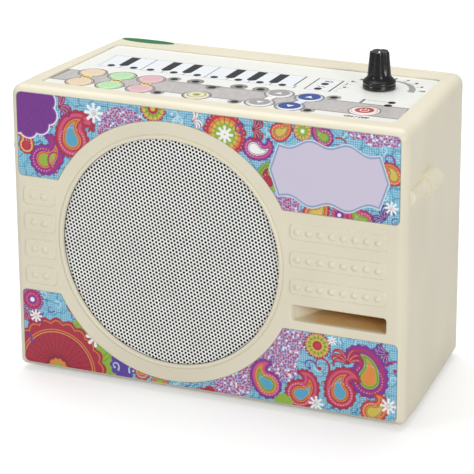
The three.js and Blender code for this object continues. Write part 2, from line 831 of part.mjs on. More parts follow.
// Holes in staggered rows, whole ones only.
function speakerGrille() {
  const sheet = rodAlongY(grilleRadius, grilleFront, grilleBack, speakerX, speakerZ, ringSides);
  const rowPitch = grilleHole.pitch * Math.sqrt(0.75);
  const reach = openingRadius - grilleHole.radius;
  const rows = Math.floor(reach / rowPitch);
  const positions = [];
  for (let row = -rows; row <= rows; row += 1) {
    const shift = row % 2 === 0 ? 0 : 0.5;
    const columns = Math.ceil(reach / grilleHole.pitch);
    for (let column = -columns; column <= columns; column += 1) {
      const x = (column + shift) * grilleHole.pitch;
      const z = row * rowPitch;
      if (Math.hypot(x, z) < reach - grilleHole.radius / 2) positions.push([speakerX + x, speakerZ + z]);
    }
  }
  const punches = positions.map(([x, z]) =>
    rodAlongY(grilleHole.radius, grilleFront - overrun, grilleBack + overrun, x, z, grilleHole.sides));
  return cut(sheet, wasm.Manifold.union(punches));
}

function speakerGasket() {
  const outer = flangeRadius - clearance;
  const inner = outer - speaker.gasketWidth;
  return turnedAlongY(
    [[inner, gasketFront], [outer, gasketFront], [outer, gasketBack], [inner, gasketBack], [inner, gasketFront]],
    speakerX, speakerZ, basketSides);
}

const basketBack = flangeFront + speaker.basketDepth;
const basketInner = flangeRadius - speaker.gasketWidth;

function speakerBasket() {
  const wall = speaker.basketWall;
  const profile = [
    [basketInner, flangeFront],
    [flangeRadius, flangeFront],
    [flangeRadius, flangeBack],
    [basketInner + wall, flangeBack],
    [speaker.basketBackRadius + wall, basketBack - wall],
    [speaker.basketBackRadius + wall, basketBack],
    [speaker.coneNeckRadius, basketBack],
    [speaker.coneNeckRadius, basketBack - wall],
    [speaker.basketBackRadius, basketBack - wall],
    [basketInner, flangeBack],
    [basketInner, flangeFront],
  ];
  let basket = turnedAlongY(profile, speakerX, speakerZ, basketSides);
  for (const [x, z] of speakerScrewPlaces) {
    basket = join(basket, rodAlongY(speaker.earRadius, flangeFront, flangeBack, x, z, smallSides));
  }
  const bore = rodAlongY(
    basketInner, flangeFront - overrun, flangeBack, speakerX, speakerZ, basketSides);
  basket = cut(basket, bore);
  for (const [x, z] of speakerScrewPlaces) {
    const hole = rodAlongY(
      speakerScrew.shankRadius + clearance, flangeFront - overrun, flangeBack + overrun, x, z, smallSides);
    basket = cut(basket, hole);
  }
  const windowFront = flangeBack + (basketBack - flangeBack) / 4;
  const windowBack = basketBack - (basketBack - flangeBack) / 4;
  for (let i = 0; i < speaker.windowCount; i += 1) {
    const geometry = new THREE.BoxGeometry(flangeRadius, windowBack - windowFront, speaker.windowWidth);
    geometry.translate(flangeRadius / 2 + speaker.coneNeckRadius, (windowFront + windowBack) / 2, 0);
    geometry.rotateY((2 * Math.PI * i) / speaker.windowCount);
    geometry.translate(speakerX, 0, speakerZ);
    basket = cut(basket, toSolid(geometry));
  }
  return basket;
}

// Paper cone with a half-round surround, glued inside the basket's rim.
const coneNeckY = flangeFront + speaker.coneDepth;
function speakerCone() {
  const wall = speaker.coneWall;
  const rim = basketInner - clearance;
  const mid = (rim + coneRadius) / 2;
  const profile = [
    [speaker.coneNeckRadius, coneNeckY],
    [coneRadius, flangeFront],
    [mid, flangeFront - speaker.surroundRise],
    [rim, flangeFront],
    [rim, flangeFront + wall],
    [mid, flangeFront - speaker.surroundRise + wall],
    [coneRadius, flangeFront + wall],
    [speaker.coneNeckRadius, coneNeckY + wall],
    [speaker.coneNeckRadius, coneNeckY],
  ];
  return turnedAlongY(profile, speakerX, speakerZ, basketSides);
}

// Domed dust cap seated on the cone where the cone is as wide as the cap.
function speakerDustCap() {
  const slope = (coneNeckY - flangeFront) / (coneRadius - speaker.coneNeckRadius);
  const seat = coneNeckY - (speaker.capRadius - speaker.coneNeckRadius) * slope - clearance * 2;
  const profile = [[0, seat - speaker.capRise]];
  for (let step = 1; step <= filletSteps; step += 1) {
    const angle = ((Math.PI / 2) * step) / filletSteps;
    profile.push([speaker.capRadius * Math.sin(angle), seat - speaker.capRise * Math.cos(angle)]);
  }
  profile[profile.length - 1][1] = seat;
  profile.push([0, seat + clearance]);
  return turnedAlongY(profile, speakerX, speakerZ, basketSides);
}

function speakerMagnet() {
  const front = basketBack + clearance;
  const back = front + speaker.magnetDepth;
  const edge = speaker.basketWall;
  const profile = [
    [0, front],
    [speaker.magnetRadius - edge, front],
    [speaker.magnetRadius, front + edge],
    [speaker.magnetRadius, back - edge],
    [speaker.magnetRadius - edge, back],
    [0, back],
  ];
  return turnedAlongY(profile, speakerX, speakerZ, basketSides);
}

// A pan-head screw along the depth axis, its slot across the head. The head faces the rear.
function screw(x, z, headFace, sizes) {
  const under = headFace - sizes.headHeight;
  const profile = [
    [0, under - sizes.shankLength],
    [sizes.shankRadius, under - sizes.shankLength],
    [sizes.shankRadius, under],
    [sizes.headRadius, under],
    [sizes.headRadius, headFace - sizes.headHeight / 3],
    [sizes.headRadius * 0.75, headFace],
    [0, headFace],
  ];
  const head = turnedAlongY(profile, x, z, pinSides);
  const depth = sizes.headHeight * slot.depthShare;
  const reach = sizes.headRadius + overrun;
  return cut(
    head,
    block([x - reach, headFace - depth, z - slot.width / 2], [x + reach, headFace + overrun, z + slot.width / 2]));
}

// ---- Bass port ----

function bassPortDuct() {
  const front = cabinet.wall + clearance;
  const outside = loft([front, port.flareDepth, port.depth].map((y) => portSection(y, port.wall)));
  const inside = loft([front - overrun, port.flareDepth, port.depth + overrun].map((y) => portSection(y, 0)));
  return cut(outside, inside);
}

// ---- Control board and volume control ----

function controlBoard() {
  const low = boardTop - boardThickness;
  let plate = block([-boardHalf, board.front, low], [boardHalf, boardRear, boardTop]);
  const half = board.switchWidth / 2;
  for (const [x, y] of Object.values(keyPlaces)) {
    const housing = block([x - half, y - half, boardTop - clearance], [x + half, y + half, boardTop + board.switchHeight]);
    const top = boardTop + board.plungerHeight;
    plate = join(plate, housing, rodUpright(board.plungerRadius, boardTop, top, x, y, squareSides));
  }
  for (const [x, y] of lampPlaces) {
    plate = join(plate, rodUpright(lampRadius, boardTop - clearance, innerTop - clearance, x, y, squareSides));
  }
  const notches = [-1, 1].map((side) =>
    rodAlongY(
      coverScrew.pillarRadius + clearance, board.front - overrun, boardRear + overrun,
      side * coverScrewX, coverScrewHighZ, smallSides));
  return cut(plate, ...notches);
}

function potentiometer() {
  const top = innerTop - clearance;
  const bushTop = overlayTop + volume.bushRise;
  const solid = turnedUpright(
    [
      [0, top - volume.bodyHeight],
      [volume.bodyRadius, top - volume.bodyHeight],
      [volume.bodyRadius, top],
      [volume.bushRadius, top],
      [volume.bushRadius, bushTop],
      [0, bushTop],
    ],
    volumeX, volumeY, keySides);
  const bore = rodUpright(volume.shaftRadius + clearance / 2, top - volume.bodyHeight / 2, bushTop + overrun,
    volumeX, volumeY, keySides);
  return cut(solid, bore);
}

// A hexagon ring for a nut. The corner radius follows from the width across flats.
function hexRing(x, y, across, boreRadius, low, high) {
  const radius = across * hexCornerShare;
  const ring = rodUpright(radius, low, high, x, y, pinSides);
  return cut(ring, rodUpright(boreRadius, low - overrun, high + overrun, x, y, keySides));
}

function potentiometerNut() {
  const low = overlayTop + clearance;
  return hexRing(volumeX, volumeY, volume.nutAcross, volume.bushRadius + clearance, low, low + volume.nutHeight);
}

const shaftLow = innerTop - volume.bodyHeight / 2;
const shaftHigh = overlayTop + volume.shaftLength;

function volumeShaft() {
  return rodUpright(volume.shaftRadius, shaftLow, shaftHigh, volumeX, volumeY, keySides);
}

// Tapered knob with broad flutes above a skirt whose middle is drawn in, and a pocket below for the nut.
function volumeKnob() {
  const base = overlayTop + volume.lift;
  const top = overlayTop + volume.lift + volume.knobHeight;
  const skirt = volume.skirtHeight;
  const shoulder = base + skirt;
  let knob = turnedUpright(
    [
      [0, base],
      [volume.skirtRadius, base],
      [volume.skirtRadius, base + skirt * 0.3],
      [volume.waistRadius, base + skirt * 0.45],
      [volume.skirtRadius, base + skirt * 0.65],
      [volume.gripRadius, shoulder],
      [volume.topRadius, top - volume.fluteDepth],
      [volume.topRadius - volume.fluteDepth, top],
      [0, top],
    ],
    volumeX, volumeY, knobSides);
  const fluteRadius = volume.gripRadius * 0.45;
  for (let i = 0; i < volume.fluteCount; i += 1) {
    const angle = (2 * Math.PI * (i + 0.5)) / volume.fluteCount;
    const geometry = new THREE.CylinderGeometry(fluteRadius, fluteRadius, volume.knobHeight, pinSides);
    geometry.rotateX(Math.PI / 2);
    geometry.translate(0, 0, volume.knobHeight / 2);
    const tilt = Math.atan2(volume.gripRadius - volume.topRadius, volume.knobHeight - skirt);
    geometry.rotateY(-tilt);
    const reach = volume.gripRadius - volume.fluteDepth + fluteRadius;
    geometry.translate(reach, 0, 0);
    geometry.rotateZ(angle);
    geometry.translate(volumeX, volumeY, shoulder);
    knob = cut(knob, toSolid(geometry));
  }
  const pocketTop = overlayTop + volume.bushRise + clearance * 2;
  const pocket = rodUpright(volume.waistRadius - clearance * 4, base - overrun, pocketTop, volumeX, volumeY, keySides);
  const bore = rodUpright(volume.bore, base, shaftHigh + clearance, volumeX, volumeY, keySides);
  return cut(knob, pocket, bore);
}

// ---- Rear cover ----

// Battery bay: walls that stand forward from the cover round the cells.
function rearCover() {
  const reversed = filletSections(cabinet.depth, cabinet.rearFillet, -1);
  const outside = loft([cabinetSection(parting, 0), ...reversed]);
  const inside = loft([
    cabinetSection(parting - overrun, cabinet.wall),
    cabinetSection(coverInside, cabinet.wall),
  ]);
  const tongueGap = cabinet.wall + clearance;
  const tongueFront = parting - cabinet.wall;
  const tongue = cut(
    loft([cabinetSection(tongueFront, tongueGap), cabinetSection(coverInside + overrun, tongueGap)]),
    loft([
      cabinetSection(tongueFront - overrun, tongueGap + bay.wall),
      cabinetSection(coverInside + overrun * 2, tongueGap + bay.wall),
    ]));
  let cover = join(cut(outside, inside), tongue.intersect(outside.add(inside).add(tongue)));

  const wall = bay.wall;
  const tub = block(
    [-bayHalfWidth - wall, bayFront - wall, bay.floorZ - wall],
    [bayHalfWidth + wall, coverInside + clearance, bayTop + wall]);
  const tubInside = block([-bayHalfWidth, bayFront, bay.floorZ], [bayHalfWidth, cabinet.depth, bayTop]);
  const doorway = block(
    [-doorHalfWidth, doorFront - clearance, doorLow], [doorHalfWidth, cabinet.depth + overrun, doorHigh]);
  const bosses = [-1, 1].map((side) => {
    const near = side * (doorHalfWidth - clearance);
    const far = side * (doorHalfWidth + socketBoss.width);
    return block(
      [Math.min(near, far), coverInside - socketBoss.width, doorLow - clearance],
      [Math.max(near, far), coverInside + clearance, doorLow + socketBoss.height]);
  });
  cover = cut(join(cover, tub, ...bosses), doorway, tubInside);
  const socketReach = doorHalfWidth + door.pinLength + clearance;
  cover = cut(cover, rodAcross(door.socketRadius, -socketReach, socketReach, doorAxisY, doorAxisZ, smallSides));

  for (const [x, z] of coverScrewPlaces) {
    const seat = cabinet.depth - coverScrew.seatDepth;
    const boss = rodAlongY(coverScrew.headRadius + clearance + wall, parting, coverInside + clearance, x, z, smallSides);
    cover = cut(
      join(cover, boss),
      rodAlongY(coverScrew.shankRadius + clearance, tongueFront - overrun, cabinet.depth, x, z, smallSides),
      rodAlongY(coverScrew.headRadius + clearance, seat, cabinet.depth + overrun, x, z, smallSides),
      rodAlongY(coverScrew.pillarRadius + clearance, tongueFront - overrun, parting, x, z, smallSides));
  }

  const cup = rodAlongY(
    jack.cupRadius + jack.cupWall, cabinet.depth - jack.cupDepth - jack.cupWall, coverInside + clearance,
    jackX, jack.z, keySides);
  cover = cut(
    join(cover, cup),
    rodAlongY(jack.cupRadius, cabinet.depth - jack.cupDepth, cabinet.depth + overrun, jackX, jack.z, keySides),
    rodAlongY(jack.bushRadius + clearance, parting - overrun, cabinet.depth, jackX, jack.z, keySides));

  const flangeX = inlet.flangeWidth / 2 + clearance;
  const flangeZ = inlet.flangeHeight / 2 + clearance;
  const holeX = inlet.width / 2 + clearance;
  const holeZ = inlet.height / 2 + clearance;
  cover = cut(
    cover,
    block(
      [inletX - flangeX, cabinet.depth - inlet.flangeThickness, inlet.z - flangeZ],
      [inletX + flangeX, cabinet.depth + overrun, inlet.z + flangeZ]),
    block([inletX - holeX, parting, inlet.z - holeZ], [inletX + holeX, cabinet.depth, inlet.z + holeZ]));

  for (const [x, z] of soundPillarPlaces) {
    const pillar = rodAlongY(soundBoard.pillarRadius, soundBoardY + clearance, coverInside + clearance, x, z, smallSides);
    cover = join(cover, pillar);
  }
  return cover;
}

const soundPillarPlaces = [-1, 1].flatMap((side) => [
  [side * (soundBoard.halfWidth - soundBoard.pillarInset), soundBoardLow + soundBoard.pillarInset],
  [side * (soundBoard.halfWidth - soundBoard.pillarInset), soundBoardHigh - soundBoard.pillarInset],
]);

// Door plate with a round lower edge about its hinge axis, stub pins and raised grip ribs.
function batteryDoor() {
  const half = doorHalfWidth - clearance;
  let plate = join(
    block([-half, doorFront, doorAxisZ], [half, doorBack, doorHigh - clearance]),
    rodAcross(door.thickness / 2, -half, half, doorAxisY, doorAxisZ, smallSides),
    rodAcross(door.pinRadius, -half - door.pinLength, half + door.pinLength, doorAxisY, doorAxisZ, smallSides));
  for (let i = 0; i < door.gripRibs; i += 1) {
    const z = doorHigh - grip.topInset - i * grip.pitch;
    const groove = block(
      [-grip.width / 2, doorBack - grip.rise, z], [grip.width / 2, doorBack + overrun, z + grip.height]);
    plate = cut(plate, groove);
  }
  return plate;
}

// One cell, standing on end. Its neighbours stand the other way up.
function batteryCell(index) {
  const pitch = cell.radius * 2 + cell.gap;
  const x = (index - (cell.count - 1) / 2) * pitch;
  const y = bayFront + bay.depthRoom / 2 + cell.radius;
  const low = bay.floorZ + bay.contactRoom;
  const edge = cell.gap / 2;
  const profile = [
    [0, 0],
    [cell.radius - edge, 0],
    [cell.radius, edge],
    [cell.radius, cell.length - edge],
    [cell.radius - edge, cell.length],
    [cell.nubRadius, cell.length],
    [cell.nubRadius, cell.length + cell.nubLength],
    [0, cell.length + cell.nubLength],
  ];
  const upright = index % 2 === 0;
  const total = cell.length + cell.nubLength;
  const placed = profile.map(([radius, z]) => [radius, low + (upright ? z : total - z)]);
  return turnedUpright(placed, x, y, smallSides);
}

// A contact strip along the cells' ends, with a pressed nub for each cell.
function contactStrip(atTop) {
  const wallSide = atTop ? bayTop - clearance : bay.floorZ + clearance;
  const inner = atTop ? wallSide - contact.thickness : wallSide + contact.thickness;
  const y = bayFront + bay.depthRoom / 2 + cell.radius;
  const half = bayHalfWidth - clearance;
  const low = Math.min(wallSide, inner);
  const high = Math.max(wallSide, inner);
  let strip = block([-half, y - contact.width / 2, low], [half, y + contact.width / 2, high]);
  const pitch = cell.radius * 2 + cell.gap;
  const reach = bay.contactRoom - clearance * 2;
  for (let i = 0; i < cell.count; i += 1) {
    const x = (i - (cell.count - 1) / 2) * pitch;
    const tip = atTop ? bayTop - clearance - reach : bay.floorZ + clearance + reach;
    const root = (low + high) / 2;
    const nub = turnedUpright(
      atTop
        ? [[0, tip], [cell.nubRadius / 2, tip], [cell.nubRadius, root], [0, root]]
        : [[0, root], [cell.nubRadius, root], [cell.nubRadius / 2, tip], [0, tip]],
      x, y, pinSides);
    strip = join(strip, nub);
  }
  return strip;
}

// ---- Sockets ----

// Two-pin inlet: a body with a waisted cavity open to the rear, and a flange.
function mainsInlet() {
  const flangeFront_ = cabinet.depth - inlet.flangeThickness + clearance;
  const back = cabinet.depth;
  const shell = join(
    block(
      [inletX - inlet.width / 2, back - inlet.depth, inlet.z - inlet.height / 2],
      [inletX + inlet.width / 2, back, inlet.z + inlet.height / 2]),
    block(
      [inletX - inlet.flangeWidth / 2, flangeFront_, inlet.z - inlet.flangeHeight / 2],
      [inletX + inlet.flangeWidth / 2, back, inlet.z + inlet.flangeHeight / 2]));
  const cavityFront = back - inlet.cavityDepth;
  const lobes = [-1, 1].map((side) =>
    rodAlongY(inlet.cavityRadius, cavityFront, back + overrun, inletX + (side * inlet.pinSpacing) / 2, inlet.z, keySides));
  const bridge = block(
    [inletX - inlet.pinSpacing / 2, cavityFront, inlet.z - inlet.cavityRadius * 0.8],
    [inletX + inlet.pinSpacing / 2, back + overrun, inlet.z + inlet.cavityRadius * 0.8]);
  const pins = [-1, 1].map((side) =>
    rodAlongY(
      inlet.pinRadius, cavityFront - overrun, cavityFront + inlet.pinLength,
      inletX + (side * inlet.pinSpacing) / 2, inlet.z, smallSides));
  return join(cut(shell, ...lobes, bridge), ...pins);
}

function lineOutJack() {
  const cupFace = cabinet.depth - jack.cupDepth;
  const bushBack = cupFace - jack.cupWall + jack.bushLength;
  const bodyBack = cupFace - jack.cupWall - clearance;
  const half = jack.bodyWidth / 2;
  const shell = join(
    block([jackX - half, bodyBack - jack.bodyDepth, jack.z - half], [jackX + half, bodyBack, jack.z + half]),
    rodAlongY(jack.bushRadius, bodyBack - overrun, bushBack, jackX, jack.z, keySides));
  return cut(shell, rodAlongY(jack.boreRadius, bushBack - jack.boreDepth, bushBack + overrun, jackX, jack.z, keySides));
}

function lineOutNut() {
  const front = cabinet.depth - jack.cupDepth + clearance;
  const radius = jack.nutAcross * hexCornerShare;
  return cut(
    rodAlongY(radius, front, front + jack.nutHeight, jackX, jack.z, pinSides),
    rodAlongY(jack.bushRadius + clearance, front - overrun, front + jack.nutHeight + overrun, jackX, jack.z, keySides));
}

// ---- Electronics ----

function soundBoardPlate() {
  const back = soundBoardY;
  const front = back - boardThickness;
  let plate = block([-soundBoard.halfWidth, front, soundBoardLow], [soundBoard.halfWidth, back, soundBoardHigh]);
  for (const [acrossShare, riseShare] of chip.placeShares) {
    const x = acrossShare * soundBoard.halfWidth;
    const z = soundBoardLow + riseShare * (soundBoardHigh - soundBoardLow);
    plate = join(
      plate,
      block(
        [x - chip.width / 2, front - soundBoard.chipRise, z - chip.height / 2],
        [x + chip.width / 2, front + clearance, z + chip.height / 2]));
  }
  return plate;
}

// Finned block that lies against the sound board, fins forward.
function amplifierHeatSink() {
  const back = soundBoardY - boardThickness - clearance;
  const [left, low] = [heatSink.x - heatSink.width / 2, (soundBoardLow + soundBoardHigh - heatSink.height) / 2];
  let sink = block([left, back - heatSink.base, low], [left + heatSink.width, back, low + heatSink.height]);
  const pitch = (heatSink.width - heatSink.finThickness) / (heatSink.finCount - 1);
  for (let i = 0; i < heatSink.finCount; i += 1) {
    const x = left + i * pitch;
    const fin = block(
      [x, back - heatSink.base - heatSink.finDepth, low],
      [x + heatSink.finThickness, back - heatSink.base / 2, low + heatSink.height]);
    sink = join(sink, fin);
  }
  return sink;
}

// Laminated core with two windows: the coil goes round the middle leg.
const coreLow = cabinet.wall + clearance;
function transformerCore() {
  const { width, height, stack, leg } = transformer;
  const [x, y] = [transformerX, transformerY];
  const outer = block([x - width / 2, y - stack / 2, coreLow], [x + width / 2, y + stack / 2, coreLow + height]);
  const windows = [-1, 1].map((side) => {
    const inner = side * leg;
    const outerX = side * (width / 2 - leg);
    return block(
      [x + Math.min(inner, outerX), y - stack, coreLow + leg],
      [x + Math.max(inner, outerX), y + stack, coreLow + height - leg]);
  });
  return cut(outer, ...windows);
}

function transformerCoil() {
  const { width, height, stack, leg, coilDepth, coilGap } = transformer;
  const [x, y] = [transformerX, transformerY];
  const half = width / 2 - leg - coilGap;
  const coil = block(
    [x - half, y - coilDepth / 2, coreLow + leg + coilGap],
    [x + half, y + coilDepth / 2, coreLow + height - leg - coilGap]);
  return cut(
    coil,
    block(
      [x - leg - coilGap, y - stack / 2 - coilGap, coreLow],
      [x + leg + coilGap, y + stack / 2 + coilGap, coreLow + height]));
}

function powerBoardPlate() {
  const low = cabinet.wall + powerBoard.lift;
  const top = low + boardThickness;
  let plate = block([powerLeft, powerFront, low], [powerLeft + powerBoard.width, powerRear, top]);
  for (const [across, back] of powerBoard.capPlaces) {
    const [x, y] = [powerLeft + across, powerFront + back];
    plate = join(plate, rodUpright(powerBoard.capRadius, top - clearance, top + powerBoard.capHeight, x, y, smallSides));
  }
  const half = powerBoard.sinkWidth / 2;
  const [sinkX, sinkY] = [powerLeft + powerBoard.sinkX, powerFront + powerBoard.sinkY];
  const sink = block(
    [sinkX - half, sinkY, top - clearance],
    [sinkX + half, sinkY + powerBoard.sinkThickness, top + powerBoard.sinkHeight]);
  return join(plate, sink);
}

// ---- Feet ----

function rubberFoot(x, y) {
  const gap = clearance;
  const profile = [
    [0, -foot.height],
    [foot.radius - foot.taper, -foot.height],
    [foot.radius, -gap],
    [foot.stemRadius, -gap],
    [foot.stemRadius, foot.stemLength - foot.taper],
    [foot.stemRadius - foot.taper, foot.stemLength],
    [0, foot.stemLength],
  ];
  return turnedUpright(profile, x, y, smallSides);
}

// ---- Assembly ----

place("front_housing", frontHousing(), finishes.abs);
place("front_label_upper", slabAlongY(upperLabelShape(0), clearance, clearance + label.thickness), finishes.print);
place("front_label_lower", slabAlongY(lowerLabelShape(0), clearance, clearance + label.thickness), finishes.print);
place("keypad_overlay", overlaySheet(), finishes.film);
for (const [name, [x, y]] of Object.entries(keyPlaces)) {
  const colour = keyColours[name.split("_")[0]];
  place(`key_${name}`, roundKey(x, y), { color: colour, roughness: 0.45, metalness: 0 });
}
place("speaker_grille", speakerGrille(), finishes.steel);
place("speaker_gasket", speakerGasket(), finishes.rubber);
place("speaker_basket", speakerBasket(), finishes.zinc);
place("speaker_cone", speakerCone(), finishes.paper);
place("speaker_dust_cap", speakerDustCap(), finishes.paper);
place("speaker_magnet", speakerMagnet(), finishes.ferrite);
speakerScrewPlaces.forEach(([x, z], i) => {
  place(`speaker_screw_${i + 1}`, screw(x, z, flangeBack + clearance + speakerScrew.headHeight, speakerScrew), finishes.zinc);
});
place("bass_port_duct", bassPortDuct(), finishes.abs);
place("control_board", controlBoard(), finishes.laminate);
place("volume_potentiometer", potentiometer(), finishes.zinc);
place("potentiometer_nut", potentiometerNut(), finishes.zinc);
place("volume_shaft", volumeShaft(), finishes.aluminium);
place("volume_knob", volumeKnob(), finishes.black);
place("rear_cover", rearCover(), finishes.abs);
place("battery_door", batteryDoor(), finishes.abs);
for (let i = 0; i < cell.count; i += 1) {
  place(`battery_cell_${i + 1}`, batteryCell(i), finishes.cellWrap);
}
place("battery_contacts_lower", contactStrip(false), finishes.zinc);
place("battery_contacts_upper", contactStrip(true), finishes.zinc);
coverScrewPlaces.forEach(([x, z], i) => {
  const headFace = cabinet.depth - coverScrew.seatDepth + clearance + coverScrew.headHeight;
  place(`cover_screw_${i + 1}`, screw(x, z, headFace, coverScrew), finishes.zinc);
});
place("mains_inlet", mainsInlet(), finishes.black);
place("line_out_jack", lineOutJack(), finishes.black);
place("line_out_nut", lineOutNut(), finishes.zinc);
place("sound_board", soundBoardPlate(), finishes.laminate);
place("amplifier_heat_sink", amplifierHeatSink(), finishes.aluminium);
place("transformer_core", transformerCore(), finishes.ferrite);
place("transformer_coil", transformerCoil(), finishes.winding);
place("power_board", powerBoardPlate(), finishes.laminate);
for (const [name, x, y] of footPlaces) {
  place(`foot_${name}`, rubberFoot(x, y), finishes.rubber);
}

export default instrument;
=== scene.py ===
"""Looks of an electronic tanpura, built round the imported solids.

Sizes inside the cabinet are millimetres in the cabinet's own frame: x to the right, y back from
the front face, z up from the underside. place() turns them into metres in the shared frame.
"""

import math

import bmesh
import bpy
import numpy as np
from mathutils import Matrix, Vector
from mathutils.geometry import delaunay_2d_cdt


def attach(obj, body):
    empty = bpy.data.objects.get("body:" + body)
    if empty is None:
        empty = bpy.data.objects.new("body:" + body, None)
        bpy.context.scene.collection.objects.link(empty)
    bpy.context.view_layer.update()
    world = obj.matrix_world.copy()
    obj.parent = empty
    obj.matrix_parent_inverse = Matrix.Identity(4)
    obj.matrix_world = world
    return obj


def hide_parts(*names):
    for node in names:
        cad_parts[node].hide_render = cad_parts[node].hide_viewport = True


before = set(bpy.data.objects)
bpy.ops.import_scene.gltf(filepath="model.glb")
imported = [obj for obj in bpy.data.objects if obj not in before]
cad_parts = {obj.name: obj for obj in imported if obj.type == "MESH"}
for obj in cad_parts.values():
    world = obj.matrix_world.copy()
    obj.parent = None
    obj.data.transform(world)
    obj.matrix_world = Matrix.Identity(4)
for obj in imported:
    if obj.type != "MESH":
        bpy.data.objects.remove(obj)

bl_info = {
    "name": "Electronic tanpura",
    "version": (1, 0, 0),
    "blender": (4, 5, 0),
    "location": "3D View > Sidebar > Tanpura",
    "description": "Builds the finished surfaces of an electronic tanpura round its solids",
    "category": "Add Mesh",
}

# ---- Sizes shared by several pieces, in millimetres ----

HALF_DEPTH_AND_RISE = (0.0, -59.05, 2.5)  # from the cabinet's frame to the shared one
HEIGHT = 165.4
DEPTH = 120.2
PARTING = 112.0
CREASE = 27.1
WALL = 3.0
FRONT_HALF, CREASE_HALF, REAR_HALF = 116.1, 115.0, 105.9
OVERLAY_TOP = 164.5
OVERLAY_BOTTOM = 163.9
INNER_TOP = 162.4
SPEAKER = (-20.6, 80.2)
OPENING_RADIUS = 64.8
RING_RADIUS = 75.0
CABINET_CORNERS, LEAST_CORNER = (4.0, 6.0), 0.3  # radii of the lower and the upper corners
OVERCUT = 3.0  # how far a cutting shell stands out of the face that it cuts
QUARTER = math.pi / 2
WELD = 2e-7  # metres
FEWEST_FACES = 10  # fewer mean that a set operation has failed
ABS_IOR, CLEAR_FILM_IOR = 1.53, 1.46
THREAD_PITCH = 0.6
UPPER_LABEL, LOWER_LABEL = (114.2, 162.0), (3.2, 46.9)  # lowest and highest z
SHEET_CORNER = 3.0  # of the labels and the keypad film
LABEL_LEFT, LABEL_RIGHT = -111.6, 112.0
KEY_PLACES = {
    "orange_up": (-85.6, 42.0),
    "orange_down": (-84.2, 22.8),
    "green_up": (-67.5, 42.0),
    "green_down": (-65.8, 22.8),
    "pink_up": (-49.6, 42.0),
    "pink_down": (-47.3, 22.8),
    "yellow": (-13.6, 23.1),
    "grey_up": (26.6, 42.8),
    "grey_down": (23.2, 23.4),
    "blue_up": (44.5, 42.0),
    "blue_down": (40.8, 22.8),
    "power": (80.6, 30.2),
}
KEY_RADIUS = 6.7
KNOB, KNOB_LIFT = (72.2, 74.6), 0.6
DIAL_STEPS = 11
PORT_CENTRE_Z = 56.6
PORT_RIGHT = 105.4
PORT_LEFT = 51.0
LUG_Z = 127.8


def linear(hex_colour):
    """The linear colour of an sRGB hex value, with full cover as its fourth number."""
    value = hex_colour.lstrip("#")
    parts = [int(value[i : i + 2], 16) / 255 for i in (0, 2, 4)]
    return tuple(p / 12.92 if p <= 0.04045 else ((p + 0.055) / 1.055) ** 2.4 for p in parts) + (1.0,
            )


def place(points):
    """Moves points from the cabinet's frame in millimetres to the shared frame in metres."""
    return (np.asarray(points, float) + HALF_DEPTH_AND_RISE) / 1000


def half_width_at(y):
    """Half the cabinet's width: one straight line up to the crease and a steeper one behind it."""
    return np.interp(y, [0, CREASE, DEPTH], [FRONT_HALF, CREASE_HALF, REAR_HALF])


# ---- Surfaces ----


def grid_faces(rows, columns, around=True):
    """The four-sided faces of a grid of points, its columns joined round where around is set."""
    index = np.arange(rows * columns).reshape(rows, columns)
    nearer, farther = index[:-1], index[1:]
    if around:
        right, far_right = np.roll(nearer, -1, 1), np.roll(farther, -1, 1)
    else:
        nearer, right = nearer[:, :-1], nearer[:, 1:]
        farther, far_right = farther[:, :-1], farther[:, 1:]
    return np.stack([nearer, farther, far_right, right], -1).reshape(-1, 4)


def loft(sections):
    """A closed shell through outlines of equal count: point i of outline k lies at grid place (k,
    i), and the first and last outline are each closed by one flat face."""
    grid = np.asarray(sections, float)
    rows, columns = grid.shape[:2]
    faces = grid_faces(rows, columns).tolist()
    faces.append(list(range(columns)))
    faces.append(list(range((rows - 1) * columns, rows * columns))[::-1])
    return grid.reshape(-1, 3), faces


def outline_at(outline, y=None, z=None):
    """A flat outline of (across, up) pairs at one depth, or of (across, back) pairs at one
    height."""
    flat = np.asarray(outline, float)
    if y is not None:
        return np.column_stack([flat[:, 0], np.full(len(flat), y), flat[:, 1]])
    return np.column_stack([flat[:, 0], flat[:, 1], np.full(len(flat), z)])


def closed_loop(rows):
    """A closed shell of outlines that run along its outside and back along its inside."""
    rows = np.asarray(rows, float)
    count, columns = rows.shape[:2]
    here = np.arange(columns)
    there = np.roll(here, -1)
    last = (count - 1) * columns
    closing = np.stack([last + here, here, there, last + there], -1)
    return rows.reshape(-1, 3), grid_faces(count, columns).tolist() + closing.tolist()


def rings(profile, centre, axis, sides):
    """One ring of points about an axis for each (radius, distance) pair of a profile."""
    profile = np.asarray(profile, float)
    angle = np.linspace(0, 2 * math.pi, sides, endpoint=False)
    points = np.zeros((len(profile), sides, 3))
    across = {"x": (1, 2), "y": (0, 2), "z": (0, 1)}[axis]
    points[..., across[0]] = centre[0] + profile[:, :1] * np.cos(angle)
    points[..., across[1]] = centre[1] + profile[:, :1] * np.sin(angle)
    points[..., "xyz".index(axis)] = profile[:, 1:]
    return points


def turned(profile, centre, axis, sides):
    """A turned shell. A ring of no radius is a pole, and its points are welded into one."""
    return loft(rings(profile, centre, axis, sides))


def ring_shell(profile, centre, axis, sides):
    """A turned shell whose profile closes on itself, such as a washer or a bead."""
    return closed_loop(rings(profile, centre, axis, sides))


def together(shells):
    """Several shells as one list of points and faces."""
    points, faces, count = [], [], 0
    for shell_points, shell_faces in shells:
        points.append(shell_points)
        faces += [[i + count for i in face] for face in shell_faces]
        count += len(shell_points)
    return np.vstack(points), faces


def arc(centre, radius, first, last, steps):
    """Points along a circle from one angle to another."""
    angle = np.linspace(first, last, steps + 1)
    return np.column_stack([centre[0] + radius * np.cos(angle), centre[1] + radius * np.sin(angle)])


